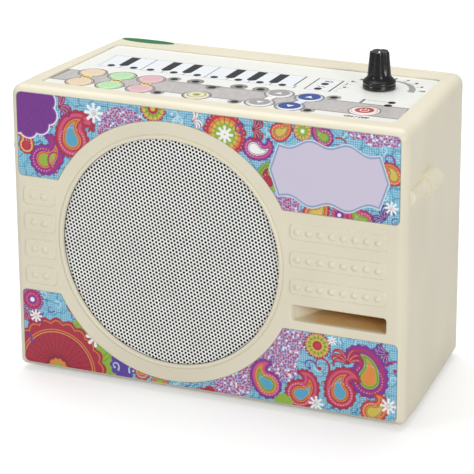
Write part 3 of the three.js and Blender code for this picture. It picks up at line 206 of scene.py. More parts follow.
def rounded_outline(x0, x1, z0, z1, low, high=None, *, steps):
    """A rectangle with quarter circles for corners, counterclockwise, its lower corners of radius
    low and its upper ones of radius high."""
    high = low if high is None else high
    centres = np.array([
        (x1 - low, z0 + low), (x1 - high, z1 - high), (x0 + high, z1 - high), (x0 + low, z0 + low)])
    radii = np.array([low, high, high, low])
    angle = QUARTER * (np.arange(4)[:, None] - 1 + np.linspace(0, 1, steps + 1)[None])
    points = centres[:, None] + radii[:, None, None] * np.stack([np.cos(angle), np.sin(angle)], -1)
    return points.reshape(-1, 2)


def grown(outline, distance):
    """An outline moved outwards by a distance along the mean of each corner's two edge normals."""
    flat = np.asarray(outline, float)
    ahead = np.roll(flat, -1, 0) - flat
    ahead /= np.maximum(np.linalg.norm(ahead, axis=1), 1e-9)[:, None]
    normal = np.column_stack([ahead[:, 1], -ahead[:, 0]])
    mean = normal + np.roll(normal, 1, 0)
    mean /= np.maximum(np.sum(mean * normal, axis=1), 0.3)[:, None]
    return flat + mean * distance


def quarter_lip(radius, steps=4):
    """Pairs of (outward growth, depth) of a rounded edge, from deep inside up to the surface."""
    angle = np.linspace(0, QUARTER, steps + 1)
    return [(radius * (1 - math.cos(a)), radius * (1 - math.sin(a))) for a in angle]


def stepped(outline, steps, axis="y"):
    """A closed shell through one outline: each step is its growth and its depth, or its height
    where the axis is z."""
    return loft([outline_at(grown(outline, growth), **{axis: at}) for growth, at in steps])


def recess(outline, face, inwards, depth, lip):
    """A cutting shell for a recess in a face across the depth axis, its mouth rounded over by a
    small lip. Inwards is 1 where the recess goes towards the rear and -1 where it goes towards the
    front."""
    steps = [(0, face + inwards * depth), (0, face + inwards * lip)]
    steps += [(growth, face + inwards * below) for growth, below in quarter_lip(lip)[1:]]
    steps.append((lip, face - inwards * OVERCUT))
    return stepped(outline, steps[::-inwards])


def settle(mesh, weld=True):
    """Welds a mesh's doubled points and turns its faces outwards."""
    shape = bmesh.new()
    shape.from_mesh(mesh)
    if weld:
        bmesh.ops.remove_doubles(shape, verts=shape.verts, dist=WELD)
    bmesh.ops.recalc_face_normals(shape, faces=shape.faces)
    shape.to_mesh(mesh)
    shape.free()


def ink_layer(mesh, domain, colours):
    """Puts linear colours in a layer named ink, one for each point or for each corner of a face."""
    layer = mesh.color_attributes.new(name="ink", type="FLOAT_COLOR", domain=domain)
    layer.data.foreach_set("color", np.asarray(colours, np.float32).ravel())


def linked(name, data):
    """A new object of the given data in the scene."""
    made = bpy.data.objects.new(name, data)
    bpy.context.scene.collection.objects.link(made)
    return made


def to_mesh(name, points, faces, weld=True):
    """A mesh of the given points in metres, its doubled points welded and its faces turned
    outwards."""
    mesh = bpy.data.meshes.new(name)
    mesh.from_pydata(np.asarray(points).tolist(), [], faces)
    if weld:
        settle(mesh)
    return mesh


def finish_piece(name, mesh, material, body, nodes, sharp=35):
    """Links a mesh as a piece that rides on a body, stands for CAD nodes and has a material slot.
    Edges with a turn of more than sharp degrees stay sharp."""
    mesh.shade_smooth()
    mesh.set_sharp_from_angle(angle=math.radians(sharp))
    piece = linked(name, mesh)
    mesh.materials.append(material)
    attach(piece, body)
    if nodes:
        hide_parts(*nodes)
    return piece


def add_piece(name, shells, material, body, nodes=(), sharp=35):
    """A piece made of one or more closed shells given in the cabinet's frame."""
    points, faces = together(shells)
    mesh = to_mesh(name, place(points), faces)
    return finish_piece(name, mesh, material, body, nodes, sharp)


def carve(name, base, steps):
    """A mesh after a row of set operations, each an operation's name and the shells to use."""
    host = linked(name, to_mesh(name, place(base[0]), base[1]))
    tools = []
    for number, (operation, shells) in enumerate(steps):
        points, faces = together(shells)
        tool_name = f"{name}_tool_{number}"
        tool = linked(tool_name, to_mesh(tool_name, place(points), faces))
        modifier = host.modifiers.new(f"step_{number}", "BOOLEAN")
        modifier.operation = operation
        modifier.solver = "EXACT"
        modifier.object = tool
        tools.append(tool)
    bpy.context.view_layer.update()
    graph = bpy.context.evaluated_depsgraph_get()
    made = bpy.data.meshes.new_from_object(host.evaluated_get(graph))
    for one in [host, *tools]:
        data = one.data
        bpy.data.objects.remove(one)
        bpy.data.meshes.remove(data)
    if len(made.polygons) < FEWEST_FACES:
        raise RuntimeError(f"{name} lost its faces in a set operation")
    made.name = name
    made.materials.clear()
    return made


def even_normals(piece):
    """Large flat faces keep straight normals beside small rounded ones."""
    modifier = piece.modifiers.new("even_normals", "WEIGHTED_NORMAL")
    modifier.keep_sharp = True
    modifier.weight = 60


# ---- Materials ----


def add_node(material, kind, settings=None, inputs=None):
    """Adds one node with its settings. An input is a value, or the socket that feeds it."""
    made = material.node_tree.nodes.new("ShaderNode" + kind)
    for name, value in (settings or {}).items():
        setattr(made, name, value)
    for name, value in (inputs or {}).items():
        socket = made.inputs[name]
        if isinstance(value, bpy.types.NodeSocket):
            material.node_tree.links.new(value, socket)
        else:
            socket.default_value = value
    return made


def bare_nodes(owner):
    """Empties the node tree of a material or a world, so that it can be built anew."""
    owner.use_nodes = True
    owner.node_tree.nodes.clear()
    return owner


def new_material(name, colour, roughness, ior=1.5, metallic=0.0):
    """A material with a Principled shader whose steady values stand on its own sockets."""
    material = bare_nodes(bpy.data.materials.new(name))
    settings = {"Base Color": colour, "Roughness": roughness, "Metallic": metallic}
    if not metallic:
        settings["IOR"] = ior
    shader = add_node(material, "BsdfPrincipled", {"name": "surface"}, settings)
    add_node(material, "OutputMaterial", inputs={"Surface": shader.outputs["BSDF"]})
    material.diffuse_color = colour
    return material


def feed(material, socket, source):
    """Joins a source to a socket of the material's Principled shader."""
    material.node_tree.links.new(source, material.node_tree.nodes["surface"].inputs[socket])


def grain(material, size_mm, detail=2.0, stretch=(1, 1, 1)):
    """Noise whose patches are about size_mm across, fixed to the object."""
    where = add_node(material, "TexCoord").outputs["Object"]
    if stretch != (1, 1, 1):
        where = add_node(material, "Mapping", inputs={"Vector": where,
                                                      "Scale": stretch}).outputs["Vector"]
    inputs = {"Vector": where, "Scale": 1000 / size_mm, "Detail": detail, "Roughness": 0.55}
    return add_node(material, "TexNoise", inputs=inputs).outputs["Fac"]


def between(material, source, low, high, from_low=0.3, from_high=0.7):
    """A number that moves from low to high as the source moves between two values."""
    inputs = {"Value": source, "From Min": from_low, "From Max": from_high, "To Min": low,
              "To Max": high}
    return add_node(material, "MapRange", inputs=inputs).outputs["Result"]


def blend_colours(material, factor, first, second):
    """A colour between two colours, by a factor."""
    made = add_node(material, "Mix", {"data_type": "RGBA"})
    for socket, value in ((made.inputs[0], factor), (made.inputs[6], first),
                          (made.inputs[7], second)):
        if isinstance(value, bpy.types.NodeSocket):
            material.node_tree.links.new(value, socket)
        else:
            socket.default_value = value
    return made.outputs[2]


def shade(colour, factor):
    """A linear colour made darker or lighter by a factor."""
    return tuple(min(1.0, c * factor) for c in colour[:3]) + (1.0,)


def clouded(material, size_mm, detail, first, second):
    """A colour that drifts between two tones in patches of a real size."""
    drift = between(material, grain(material, size_mm, detail), 0.0, 1.0)
    return blend_colours(material, drift, first, second)


def bump(material, height, depth_mm):
    """Relief of a real depth from a height pattern."""
    made = add_node(material, "Bump", inputs={"Height": height, "Distance": depth_mm / 1000,
                                              "Strength": 1.0})
    feed(material, "Normal", made.outputs["Normal"])


def skin(material, pattern, smoothest, roughest, relief_mm):
    """Roughness and relief that follow one fine pattern."""
    feed(material, "Roughness", between(material, pattern, smoothest, roughest))
    bump(material, pattern, relief_mm)


def moulded_plastic(name, colour, roughness=0.42, grain_mm=0.7, relief_mm=0.02, tone=0.03):
    """Injection moulded ABS: an even colour with a faint cloudy tone where the melt flowed, and a
    fine spark-eroded grain that softens the highlights."""
    material = new_material(name, colour, roughness, ABS_IOR)
    tones = shade(colour, 1 - tone), shade(colour, 1 + tone)
    feed(material, "Base Color", clouded(material, 45, 1.0, *tones))
    skin(material, grain(material, grain_mm, 3.0), roughness - 0.05, roughness + 0.06, relief_mm)
    return material


def duct_plastic(colour):
    """The duct's own moulding: cabinet plastic at the slanting end of its mouth that turns a warm
    tan further in, with the same fine grain. The tan is painted shade: it stands in for the dim,
    warm light deep in the duct, not for a colour of the plastic."""
    material = moulded_plastic("moulded_abs_duct", colour, 0.5)
    where = add_node(material, "TexCoord").outputs["Object"]
    across = add_node(material, "SeparateXYZ", inputs={"Vector": where}).outputs["X"]
    # Painted shade: this warm tan stands in for the dim light deep in the duct.
    painted_shade_tan = clouded(material, 9, 2.0, linear("#eccb93"), linear("#e2ba7c"))
    near, far = (PORT_LEFT + 2) / 1000, (PORT_LEFT + 16) / 1000
    share = between(material, across, 0, 1, near, far)
    feed(material, "Base Color", blend_colours(material, share, colour, painted_shade_tan))
    return material


def lacquered_sheet(colour):
    """Steel sheet with a pale sprayed lacquer, punched before it was painted: a satin coat with a
    faint orange peel, and a little dust of darker tone."""
    material = new_material("lacquered_steel_sheet", colour, 0.38)
    feed(material, "Base Color", clouded(material, 12, 1.0, shade(colour, 0.95), colour))
    skin(material, grain(material, 1.6), 0.32, 0.44, 0.01)
    return material


def speaker_cloth():
    """Black woven dust cloth stretched behind the sheet: crossed waves, each of a thread and a
    gap."""
    material = new_material("woven_dust_cloth", linear("#050506"), 1.0, 1.35)
    where = add_node(material, "TexCoord").outputs["Object"]
    scale = 1000 / THREAD_PITCH / 20 * math.pi  # at scale 1 its wave is pi / 10 metres
    waves = []
    for way in ("X", "Z"):
        settings = {"wave_type": "BANDS", "bands_direction": way}
        waves.append(add_node(material, "TexWave", settings,
                              {"Vector": where, "Scale": scale}).outputs["Fac"])
    weave = add_node(material, "Math", {"operation": "MULTIPLY"},
                     {0: waves[0], 1: waves[1]}).outputs[0]
    feed(material, "Base Color", blend_colours(material, weave, linear("#030304"),
                                               linear("#0c0c0e")))
    bump(material, weave, 0.05)
    return material


def inked_surface(name, roughness):
    """A material under clear film or lacquer, and the socket of the mesh's own inks."""
    material = new_material(name, linear("#ffffff"), roughness, CLEAR_FILM_IOR)
    return material, add_node(material, "Attribute", {"attribute_name": "ink"}).outputs["Color"]


def printed_film(name, roughness=0.36):
    """Printed vinyl film: the ink colours stand in the mesh's own colour layer, under a thin clear
    laminate with a soft sheen and a faint dimple."""
    material, ink = inked_surface(name, roughness)
    speck = between(material, grain(material, 0.55), 0.0, 0.05)
    feed(material, "Base Color", blend_colours(material, speck, ink, linear("#ffffff")))
    skin(material, grain(material, 0.9), roughness - 0.05, roughness + 0.05, 0.006)
    return material


def overlay_film():
    """Polyester keypad film printed from behind: the inks stand in the mesh's own colour layer, the
    grey ones with fine streaks along the film, under a satin and very finely dimpled face."""
    material, ink = inked_surface("polyester_keypad_film", 0.3)
    streaks = grain(material, 1.6, 4.0, (1, 0.3, 1))
    toned = blend_colours(material, between(material, streaks, 0.0, 0.42), ink, linear("#a19c99"))
    value = add_node(material, "SeparateColor", {"mode": "HSV"}, {"Color": ink}).outputs["Blue"]
    not_pale = between(material, value, 1.0, 0.0, 0.62, 0.8)
    not_dark = between(material, value, 0.0, 1.0, 0.1, 0.3)
    inked = blend_colours(material, not_dark, ink, toned)
    feed(material, "Base Color", blend_colours(material, not_pale, ink, inked))
    skin(material, grain(material, 0.4), 0.26, 0.34, 0.004)
    return material


def key_colour_layer():
    """Moulded key caps whose tint, ring and mark stand in the mesh's own colour layer: satin, with
    a faint cloud in the tint."""
    material, tint = inked_surface("tinted_key_plastic", 0.28)
    cloud = between(material, grain(material, 3.0), 0.0, 0.04)
    feed(material, "Base Color", blend_colours(material, cloud, tint, linear("#f4f0e8")))
    skin(material, grain(material, 0.35), 0.22, 0.34, 0.004)
    return material


def metal(name, colour, roughness, scratch_mm=0.25, stretch=(1, 1, 1), relief_mm=0.004):
    """Plated or bare metal: bright, with fine tool marks that scatter the highlight."""
    material = new_material(name, colour, roughness, metallic=1.0)
    feed(material, "Base Color", clouded(material, 2.5, 2.0, shade(colour, 0.86), colour))
    scratches = grain(material, scratch_mm, 3.0, stretch)
    skin(material, scratches, roughness - 0.08, roughness + 0.1, relief_mm)
    return material


def mottled(name, first, second, patch_mm, roughness, relief_mm, ior=1.5, stretch=(1, 1, 1)):
    """A dull material of two close sRGB tones in patches of a real size, with relief of a real
    depth."""
    material = new_material(name, linear(first), roughness, ior)
    patches = grain(material, patch_mm, 3.0, stretch)
    drift = between(material, patches, 0.0, 1.0)
    feed(material, "Base Color", blend_colours(material, drift, linear(first), linear(second)))
    skin(material, patches, roughness - 0.06, min(1.0, roughness + 0.06), relief_mm)
    return material


# ---- What a user would change ----


def colour_setting(name, description, default):
    """A colour that the user may change; its default is an sRGB hex value."""
    return bpy.props.FloatVectorProperty(
        name=name, description=description, subtype="COLOR", size=4, min=0, max=1,
        default=linear(default))


def length_setting(name, description, default):
    """A length that the user may change, in metres."""
    return bpy.props.FloatProperty(name=name, description=description, unit="LENGTH",
                                   default=default)


class TanpuraCabinet(bpy.types.PropertyGroup):
    """The moulded cabinet."""

    colour: colour_setting("Plastic colour", "Colour of the moulded cabinet", "#e8e1ca")
    front_fillet: length_setting(
        "Front rounding", "Radius of the edge round the front face", 0.0057)
    rear_fillet: length_setting("Rear rounding", "Radius of the edge round the rear face", 0.006)
    grain: length_setting("Grain size", "Size of the moulded grain", 0.0008)


class TanpuraGrille(bpy.types.PropertyGroup):
    """The punched speaker grille."""

    colour: colour_setting("Lacquer colour", "Colour of the lacquered sheet", "#fbfbf8")
    pitch: length_setting("Hole pitch", "Distance between neighbouring holes", 0.00215)
    hole: length_setting("Hole diameter", "Diameter of each hole", 0.00157)
    turn: bpy.props.FloatProperty(
        name="Turn", description="Turn of the hole pattern in its plane", subtype="ANGLE",
        default=math.radians(-18.2))


class TanpuraPrint(bpy.types.PropertyGroup):
    """The printed labels and keypad film."""

    ground: colour_setting("Label ground", "Ground colour of the labels", "#5fb0d2")
    film: colour_setting("Keypad film", "Colour of the keypad film", "#f4f4ef")


class TanpuraKeys(bpy.types.PropertyGroup):
    """The round keys."""

    crown: length_setting("Key crown", "Rise of the key's face over the film", 0.00045)
    orange: colour_setting("Orange", "Colour of the two orange keys", "#efd6b6")
    green: colour_setting("Green", "Colour of the two green keys", "#bce7b3")
    pink: colour_setting("Pink", "Colour of the two pink keys", "#e6bac1")
    yellow: colour_setting("Yellow", "Colour of the yellow key", "#dcd694")
    grey: colour_setting("Grey", "Colour of the two grey keys", "#a5a0a2")
    blue: colour_setting("Blue", "Colour of the two blue keys", "#003f9a")
    power: colour_setting("Power", "Colour of the power key", "#bd4536")


class TanpuraKnob(bpy.types.PropertyGroup):
    """The volume knob."""

    colour: colour_setting("Knob colour", "Colour of the glossy knob", "#060608")
    flutes: bpy.props.IntProperty(
        name="Flutes", description="Number of grip flutes", default=5, min=3, max=24)
    flute_depth: length_setting("Flute depth", "Depth of the grip flutes", 0.0011)


class TanpuraStage(bpy.types.PropertyGroup):
    """Floor, lights and camera."""

    lamp: bpy.props.FloatProperty(
        name="Lamp power", description="Power of the top lamp in watts", default=33.0, min=0)
    sky: bpy.props.FloatProperty(
        name="Surround", description="Strength of the even light", default=0.36, min=0)
    lens: bpy.props.FloatProperty(
        name="Lens", description="Focal length in millimetres", default=190.14, min=1)


class TanpuraSettings(bpy.types.PropertyGroup):
    """All settings of the instrument."""

    cabinet: bpy.props.PointerProperty(type=TanpuraCabinet)
    grille: bpy.props.PointerProperty(type=TanpuraGrille)
    printing: bpy.props.PointerProperty(type=TanpuraPrint)
    keys: bpy.props.PointerProperty(type=TanpuraKeys)
    knob: bpy.props.PointerProperty(type=TanpuraKnob)
    stage: bpy.props.PointerProperty(type=TanpuraStage)


# ---- Front housing ----


def cabinet_section(y, inset):
    """The cabinet's outer outline at a depth, drawn in by an inset all round."""
    half = float(half_width_at(y)) - inset
    low, high = (max(radius - inset, LEAST_CORNER) for radius in CABINET_CORNERS)
    return outline_at(rounded_outline(-half, half, inset, HEIGHT - inset, low, high, steps=10), y=y)


def rounded_edge(face, radius, direction):
    """Outlines along a quarter circle: the inset falls to nothing as y leaves the face."""
    rows = [cabinet_section(face + direction * away, inset)
            for away, inset in quarter_lip(radius, 9)]
    return rows if direction > 0 else rows[::-1]


def sheet_corners(centres):
    """A sheet's rounded corners about four centres, counterclockwise from the lower left one."""
    turns = (2, 3, 0, 1)
    return [
        arc(spot, SHEET_CORNER, turn * QUARTER, (turn + 1) * QUARTER, 8)
        for spot, turn in zip(centres, turns)]


def label_outline(heights, margin):
    """A rounded rectangle whose edge beside the speaker follows the speaker ring, in x and z."""
    radius, c = RING_RADIUS - margin, SHEET_CORNER
    x0, x1 = LABEL_LEFT - margin, LABEL_RIGHT + margin
    z0, z1 = heights[0] - margin, heights[1] + margin
    rows = sheet_corners([(x0 + c, z0 + c), (x1 - c, z0 + c), (x1 - c, z1 - c), (x0 + c, z1 - c)])
    if z1 < SPEAKER[1]:
        start = math.asin((z1 - SPEAKER[1]) / radius)
        rows.insert(3, arc(SPEAKER, radius, start, -math.pi - start, 72))
    else:
        start = math.asin((z0 - SPEAKER[1]) / radius)
        rows.insert(1, arc(SPEAKER, radius, math.pi - start, start, 72))
    return np.vstack(rows)


def overlay_outline(shrink):
    """The keypad film's outline in x and y: it follows the narrowing sides."""
    front, rear = 13.0 + shrink, 100.2 - shrink
    front_half = float(half_width_at(front)) - 12.2 - shrink
    rear_half = float(half_width_at(rear)) - 9.0 - shrink
    c = SHEET_CORNER
    return np.vstack(sheet_corners([
        (c - front_half, front + c), (front_half - c, front + c),
        (rear_half - c, rear - c), (c - rear_half, rear - c)]))


def strap_lug(side):
    """A stepped turned boss along the cabinet's side with a domed rear end. The left one's neck
    starts further back, where the photograph shows none of it."""
    start = 4.0 if side > 0 else 9.0
    dome = [(7.0 * math.cos(a), 41.0 + 7.0 * math.sin(a)) for a in np.linspace(0, QUARTER, 9)[:-1]]
    neck = [(4.4 - below, start + along) for along, below in quarter_lip(0.8)]
    step = [(4.4, 25.6), (4.7, 26.0), (6.2, 26.0), (6.75, 26.25), (7.0, 26.8)]
    return turned([(0, start), *neck, *step, *dome, (0.0, 48.0)], (side * 114.95, LUG_Z), "y", 40)


def grip_pad(centre_x, centre_z, width, height, pin_count, pitch):
    """A raised bar with a rounded face, and a row of low domed pins on it."""
    corners = (centre_x - width / 2, centre_x + width / 2, centre_z - height / 2,
               centre_z + height / 2)
    outline = rounded_outline(*corners, 2.6, steps=7)
    steps = [(-inset, -1.0 + along) for along, inset in quarter_lip(0.55, 5)]
    steps += [(0, -0.25), (0.12, -0.08), (0.35, 0.02), (0.35, 1.0)]
    shells = [stepped(outline, steps)]
    pin = [(0.0, -2.1), (0.55, -2.07), (1.05, -1.93), (1.4, -1.7), (1.62, -1.4), (1.72, -1.12),
           (1.95, -0.98), (1.95, -0.5), (0, -0.5)]
    for i in range(pin_count):
        x = centre_x + (i - (pin_count - 1) / 2) * pitch
        shells.append(turned(pin, (x, centre_z), "y", 16))
    return shells


def film_bore(radius, spot, sides):
    """A cutting shell for a round hole through the top wall, under the keypad film."""
    profile = [(0, INNER_TOP - 1), (radius, INNER_TOP - 1), (radius, HEIGHT), (0, HEIGHT)]
    return turned(profile, spot, "z", sides)


def port_outline(y, grow=0.0):
    """The bass port's outline at a depth: its left wall slants in from the mouth."""
    left = PORT_LEFT + 9.5 * min(max(y / 21.6, 0), 1)
    half = 4.4 + grow
    low, high = PORT_CENTRE_Z - half, PORT_CENTRE_Z + half
    return rounded_outline(left - grow, PORT_RIGHT + grow, low, high, 1.6 + grow, steps=7)


def round_speaker(pairs):
    """What a shell round the speaker is turned from, its radii counted from the rim of the
    opening."""
    return [(OPENING_RADIUS + out, y) for out, y in pairs], SPEAKER, "y", 144


class TANPURA_OT_front_housing(bpy.types.Operator):
    """Adds the moulded front housing with its recesses, grip pads and strap lugs"""

    bl_idname = "tanpura.front_housing"
    bl_label = "Front housing"

    def execute(self, context):
        settings = context.scene.tanpura.cabinet
        outer = loft([
            *rounded_edge(0, settings.front_fillet * 1000, 1),
            *(cabinet_section(y, 0) for y in (16, CREASE - 0.2, CREASE + 0.2, 70, PARTING - 0.8)),
            cabinet_section(PARTING - 0.42, 0.12),
            cabinet_section(PARTING - 0.3, 0.4),
        ])
        inner = loft([cabinet_section(y, WALL) for y in (WALL, CREASE, PARTING + 1)])
        bead = turned(*round_speaker([
            (-4.8, -0.7), (0.9, -0.7), (1.4, -0.64), (1.85, -0.42), (2.1, -0.1), (2.1, 1.0),
            (-4.8, 1.0)]))
        groove = ring_shell(*round_speaker([
            (2.1, -1), (2.1, 0.3), (2.35, 0.42), (2.6, 0.3), (2.85, 0.05), (3.05, -0.02),
            (3.05, -1)]))
        opening = turned(*round_speaker([
            (-OPENING_RADIUS, -3), (0.9, -3), (0.9, -0.7), (0.55, -0.6), (0.25, -0.35), (0, 0.1),
            (0, 1.8), (3.2, 1.8), (3.2, 4), (-OPENING_RADIUS, 4)]))
        recesses = [
            recess(label_outline(heights, 0.3), 0, 1, 1.0, 0.25)
            for heights in (UPPER_LABEL, LOWER_LABEL)]
        mouth = [outline_at(port_outline(WALL + 1), y=WALL + 1)]
        mouth += [
            outline_at(grown(port_outline(depth), growth), y=depth)
            for growth, depth in quarter_lip(1.1, 6)]
        mouth.append(outline_at(grown(port_outline(0), 1.1), y=-OVERCUT))
        rises = ((0, -1.8), (0, -0.3), (0.1, -0.08), (0.3, 0.02), (0.3, 2))
        steps = [(growth, HEIGHT + rise) for growth, rise in rises]
        film_bed = stepped(overlay_outline(0), steps, "z")
        holes = [*(film_bore(7.0, spot, 32) for spot in KEY_PLACES.values()),
                 film_bore(3.8, KNOB, 24)]
        mesh = carve("moulded_front_housing", outer, [
            ("UNION", [strap_lug(-1), strap_lug(1)]),
            ("DIFFERENCE", [inner]),
            ("UNION", [bead]),
            ("DIFFERENCE", [groove]),
            ("DIFFERENCE", [opening]),
            ("DIFFERENCE", recesses),
            ("DIFFERENCE", [loft(mouth[::-1])]),
            ("DIFFERENCE", [film_bed]),
            ("DIFFERENCE", holes),
        ])
        plastic = moulded_plastic("moulded_abs_cream", tuple(settings.colour),
                                  grain_mm=settings.grain * 1000)
        even_normals(finish_piece(
            "moulded_front_housing", mesh, plastic, "cabinet", ["front_housing"],
            sharp=30))

        pads = []
        for rows, x, *sizes in ((4, -99.3, 18.8, 10.4, 2, 6.6), (3, 78.2, 54.4, 8.8, 8, 6.543)):
            for row in range(rows):
                pads += grip_pad(x, 103.1 - 15.5 * row, *sizes)
        even_normals(add_piece("grip_pads", pads, plastic, "cabinet", sharp=60))
        return {"FINISHED"}


# ---- Bass port ----


class TANPURA_OT_bass_port(bpy.types.Operator):
    """Adds the flat duct behind the bass port's mouth"""

    bl_idname = "tanpura.bass_port"
    bl_label = "Bass port duct"

    def execute(self, context):
        depths = [3.3, 8, 14, 21.6, 30, 41, 52]
        outside = [outline_at(port_outline(y, 2.0), y=y) for y in depths]
        inside = [outline_at(port_outline(y), y=y) for y in depths]
        # The duct's material carries painted shade: a warm tan deeper in, beside the lit cream
        # mouth.
        plastic = duct_plastic(tuple(context.scene.tanpura.cabinet.colour))
        shell = closed_loop(outside + inside[::-1])
        add_piece("port_duct", [shell], plastic, "cabinet", ["bass_port_duct"])
        return {"FINISHED"}


# ---- Speaker grille ----


def punched_sheet(radius, pitch, hole, turn, front, back):
    """A sheet of hexagonal cells in staggered rows, the whole pattern turned in its plane. Each
    cell has one hole, of twelve sides in front and six behind, whose walls join the two faces. The
    cells' corners are shared after welding."""
    rows = int(radius / (pitch * math.sqrt(0.75))) + 1
    columns = int(radius / pitch) + 1
    row, column = np.meshgrid(np.arange(-rows, rows + 1), np.arange(-columns, columns + 1),
                              indexing="ij")
    x = (column + 0.5 * (row % 2)) * pitch
    z = row * pitch * math.sqrt(0.75)
    keep = np.hypot(x, z) < radius
    centres = np.column_stack([x[keep], z[keep]])

    def ring(count, size):
        """Corners of a small polygon about the middle of a cell."""
        angle = np.pi / 6 + np.arange(count) * 2 * np.pi / count
        return np.column_stack([np.cos(angle), np.sin(angle)]) * size

    edge = ring(6, pitch / math.sqrt(3))
    cell = np.vstack([edge, ring(12, hole / 2), edge, ring(6, hole / 2)])
    c, s = math.cos(turn), math.sin(turn)
    flat = (centres[:, None] + cell[None]) @ np.array([[c, s], [-s, c]])
    points = np.zeros((len(centres), len(cell), 3))
    points[..., 0] = SPEAKER[0] + flat[..., 0]
    points[..., 2] = SPEAKER[1] + flat[..., 1]
    points[..., 1] = np.where(np.arange(len(cell)) < 18, front, back)
    pattern = []
    for k in range(6):
        after = (k + 1) % 6
        first, middle, last = 6 + 2 * k, 7 + 2 * k, 6 + (2 * k + 2) % 12
        pattern.append([k, after, last, middle, first])
        pattern.append([18 + k, 24 + k, 24 + after, 18 + after])
        pattern += [[first, middle, 24 + k], [middle, last, 24 + after, 24 + k]]
    start = np.arange(len(centres))[:, None] * len(cell)
    faces = []
    for face in pattern:
        faces += (start + np.array(face)[None]).tolist()
    return points.reshape(-1, 3), faces


class TANPURA_OT_grille(bpy.types.Operator):
    """Adds the punched speaker grille, the dust cloth behind it and a black foam ring at its rim
    that paints the shadow of the recessed edge
    """

    bl_idname = "tanpura.grille"
    bl_label = "Speaker grille"

    def execute(self, context):
        settings = context.scene.tanpura.grille
        sheet = punched_sheet(
            66.6, settings.pitch * 1000, settings.hole * 1000, settings.turn, 2.1, 2.3)
        lacquer = lacquered_sheet(tuple(settings.colour))
        rim = ring_shell([(65.9, 2.14), (67.7, 2.14), (67.7, 2.84), (65.9, 2.84)], SPEAKER, "y", 96)
        add_piece("punched_grille", [sheet, rim], lacquer, "cabinet", ["speaker_grille"])
        cloth = turned([(0, 2.62), (65.7, 2.62), (65.7, 2.8), (0, 2.8)], SPEAKER, "y", 96)
        add_piece("dust_cloth", [cloth], speaker_cloth(), "cabinet")
        # Painted shadow: a thin black foam ring round the opening's rim stands in for the shade in
        # the gap at the grille's recessed edge.
        shadow_tape_profile = [(64.55, 1.93), (65.6, 1.93), (65.6, 2.09), (64.55, 2.09)]
        shadow_tape_ring = ring_shell(shadow_tape_profile, SPEAKER, "y", 144)
        foam = mottled("black_foam_tape", "#101012", "#1c1c1f", 0.8, 0.9, 0.05)
        add_piece("grille_tape", [shadow_tape_ring], foam, "cabinet")
        return {"FINISHED"}


# ---- Printed artwork ----


FAR = 1e3  # farther from a point than any printed shape


class Artwork:
    """A picture worked out at the points of a surface, in millimetres across and up. Each shape is
    a signed distance, below nothing inside it, and is laid over the earlier ones with a soft
    edge."""

    def __init__(self, x, z, ground):
        self.x, self.z = np.asarray(x, float).ravel(), np.asarray(z, float).ravel()
        self.ink = np.tile(np.asarray(ground[:3], float), (self.x.size, 1))

    def lay(self, distance, colour, edge=0.13):
        """Lays an sRGB ink over the picture wherever the distance is below nothing."""
        cover = np.clip(0.5 - distance / (2 * edge), 0, 1)
        touched = cover > 0
        ink = np.asarray(linear(colour)[:3])
        self.ink[touched] += (ink - self.ink[touched]) * cover[touched, None]

    def polar(self, cx, cz):
        """Each point's distance from a spot, and its angle round the spot."""
        return np.hypot(self.x - cx, self.z - cz), np.arctan2(self.z - cz, self.x - cx)

    def sectors(self, cx, cz, count):
        """Distances along and across the middle line of the nearest of equal sectors round a
        spot."""
        away, angle = self.polar(cx, cz)
        sector = (angle + np.pi / count) % (2 * np.pi / count) - np.pi / count
        return away * np.cos(sector), away * np.sin(sector)

    def disc(self, cx, cz, radius):
        """A round shape."""
        return self.polar(cx, cz)[0] - radius

    def discs(self, spots):
        """Several overlapping discs as one shape."""
        return np.minimum.reduce([self.disc(*spot) for spot in spots])

    def scalloped(self, cx, cz, radius, rise, count):
        """A disc whose edge swells into round scallops."""
        away, angle = self.polar(cx, cz)
        return away - radius - rise * np.abs(np.sin(count * angle / 2))

    def stroke(self, path, radii):
        """A band of changing width along a path: the least distance to the discs along it. Also
        gives how far along the path the nearest disc lies, from 0 to 1."""
        path, radii = np.asarray(path, float), np.asarray(radii, float)
        reach = radii.max() + 3.0
        near = (
            (self.x > path[:, 0].min() - reach) & (self.x < path[:, 0].max() + reach)
            & (self.z > path[:, 1].min() - reach) & (self.z < path[:, 1].max() + reach)
        )
        best, along = np.full(self.x.size, FAR), np.zeros(self.x.size)
        x, z = self.x[near], self.z[near]
        low, place_on = best[near], along[near]
        for i, ((px, pz), r) in enumerate(zip(path, radii)):
            d = np.hypot(x - px, z - pz) - r
            closer = d < low
            low = np.where(closer, d, low)
            place_on = np.where(closer, i / (len(path) - 1), place_on)
        best[near], along[near] = low, place_on
        return best, along


def curl(x, z, heading, length, turn, steps, tighten):
    """A path whose heading turns over its whole length, and the faster towards its end the more it
    tightens."""
    angle = heading + turn * np.linspace(0, 1, steps) ** tighten
    step = length / (steps - 1)
    return np.column_stack([x + np.cumsum(np.cos(angle)) * step,
                            z + np.cumsum(np.sin(angle)) * step])


def paisley(art, x, z, size, heading, turn, colours, scallops, teeth):
    """A drop that tapers along a bending path, in bands of colour from its toothed edge inwards."""
    path = curl(x, z, heading, size * 2.6, turn, 48, 1.3)
    radii = size * (1 - np.linspace(0, 1, 48)) ** 0.9 * 0.98 + 0.25
    distance, along = art.stroke(path, radii)
    _, angle = art.polar(x, z)
    ripple = np.abs(np.where(along < 0.03, np.sin(scallops * angle / 2),
                             np.sin(scallops * along * 2.2)))
    edge = distance - teeth * ripple
    art.lay(edge - 0.3, PLUM)
    art.lay(edge, colours[0])
    inset = 0.0
    for number, colour in enumerate(colours):
        art.lay(distance + inset, colour)
        inset += size * (0.11 if number % 2 == 0 else 0.2)
    beads(art, x, z, size * 0.78, int(size * 3), 0.3, BLUSH)
    art.lay(np.abs(distance + size * 0.52) - 0.14, PLUM)


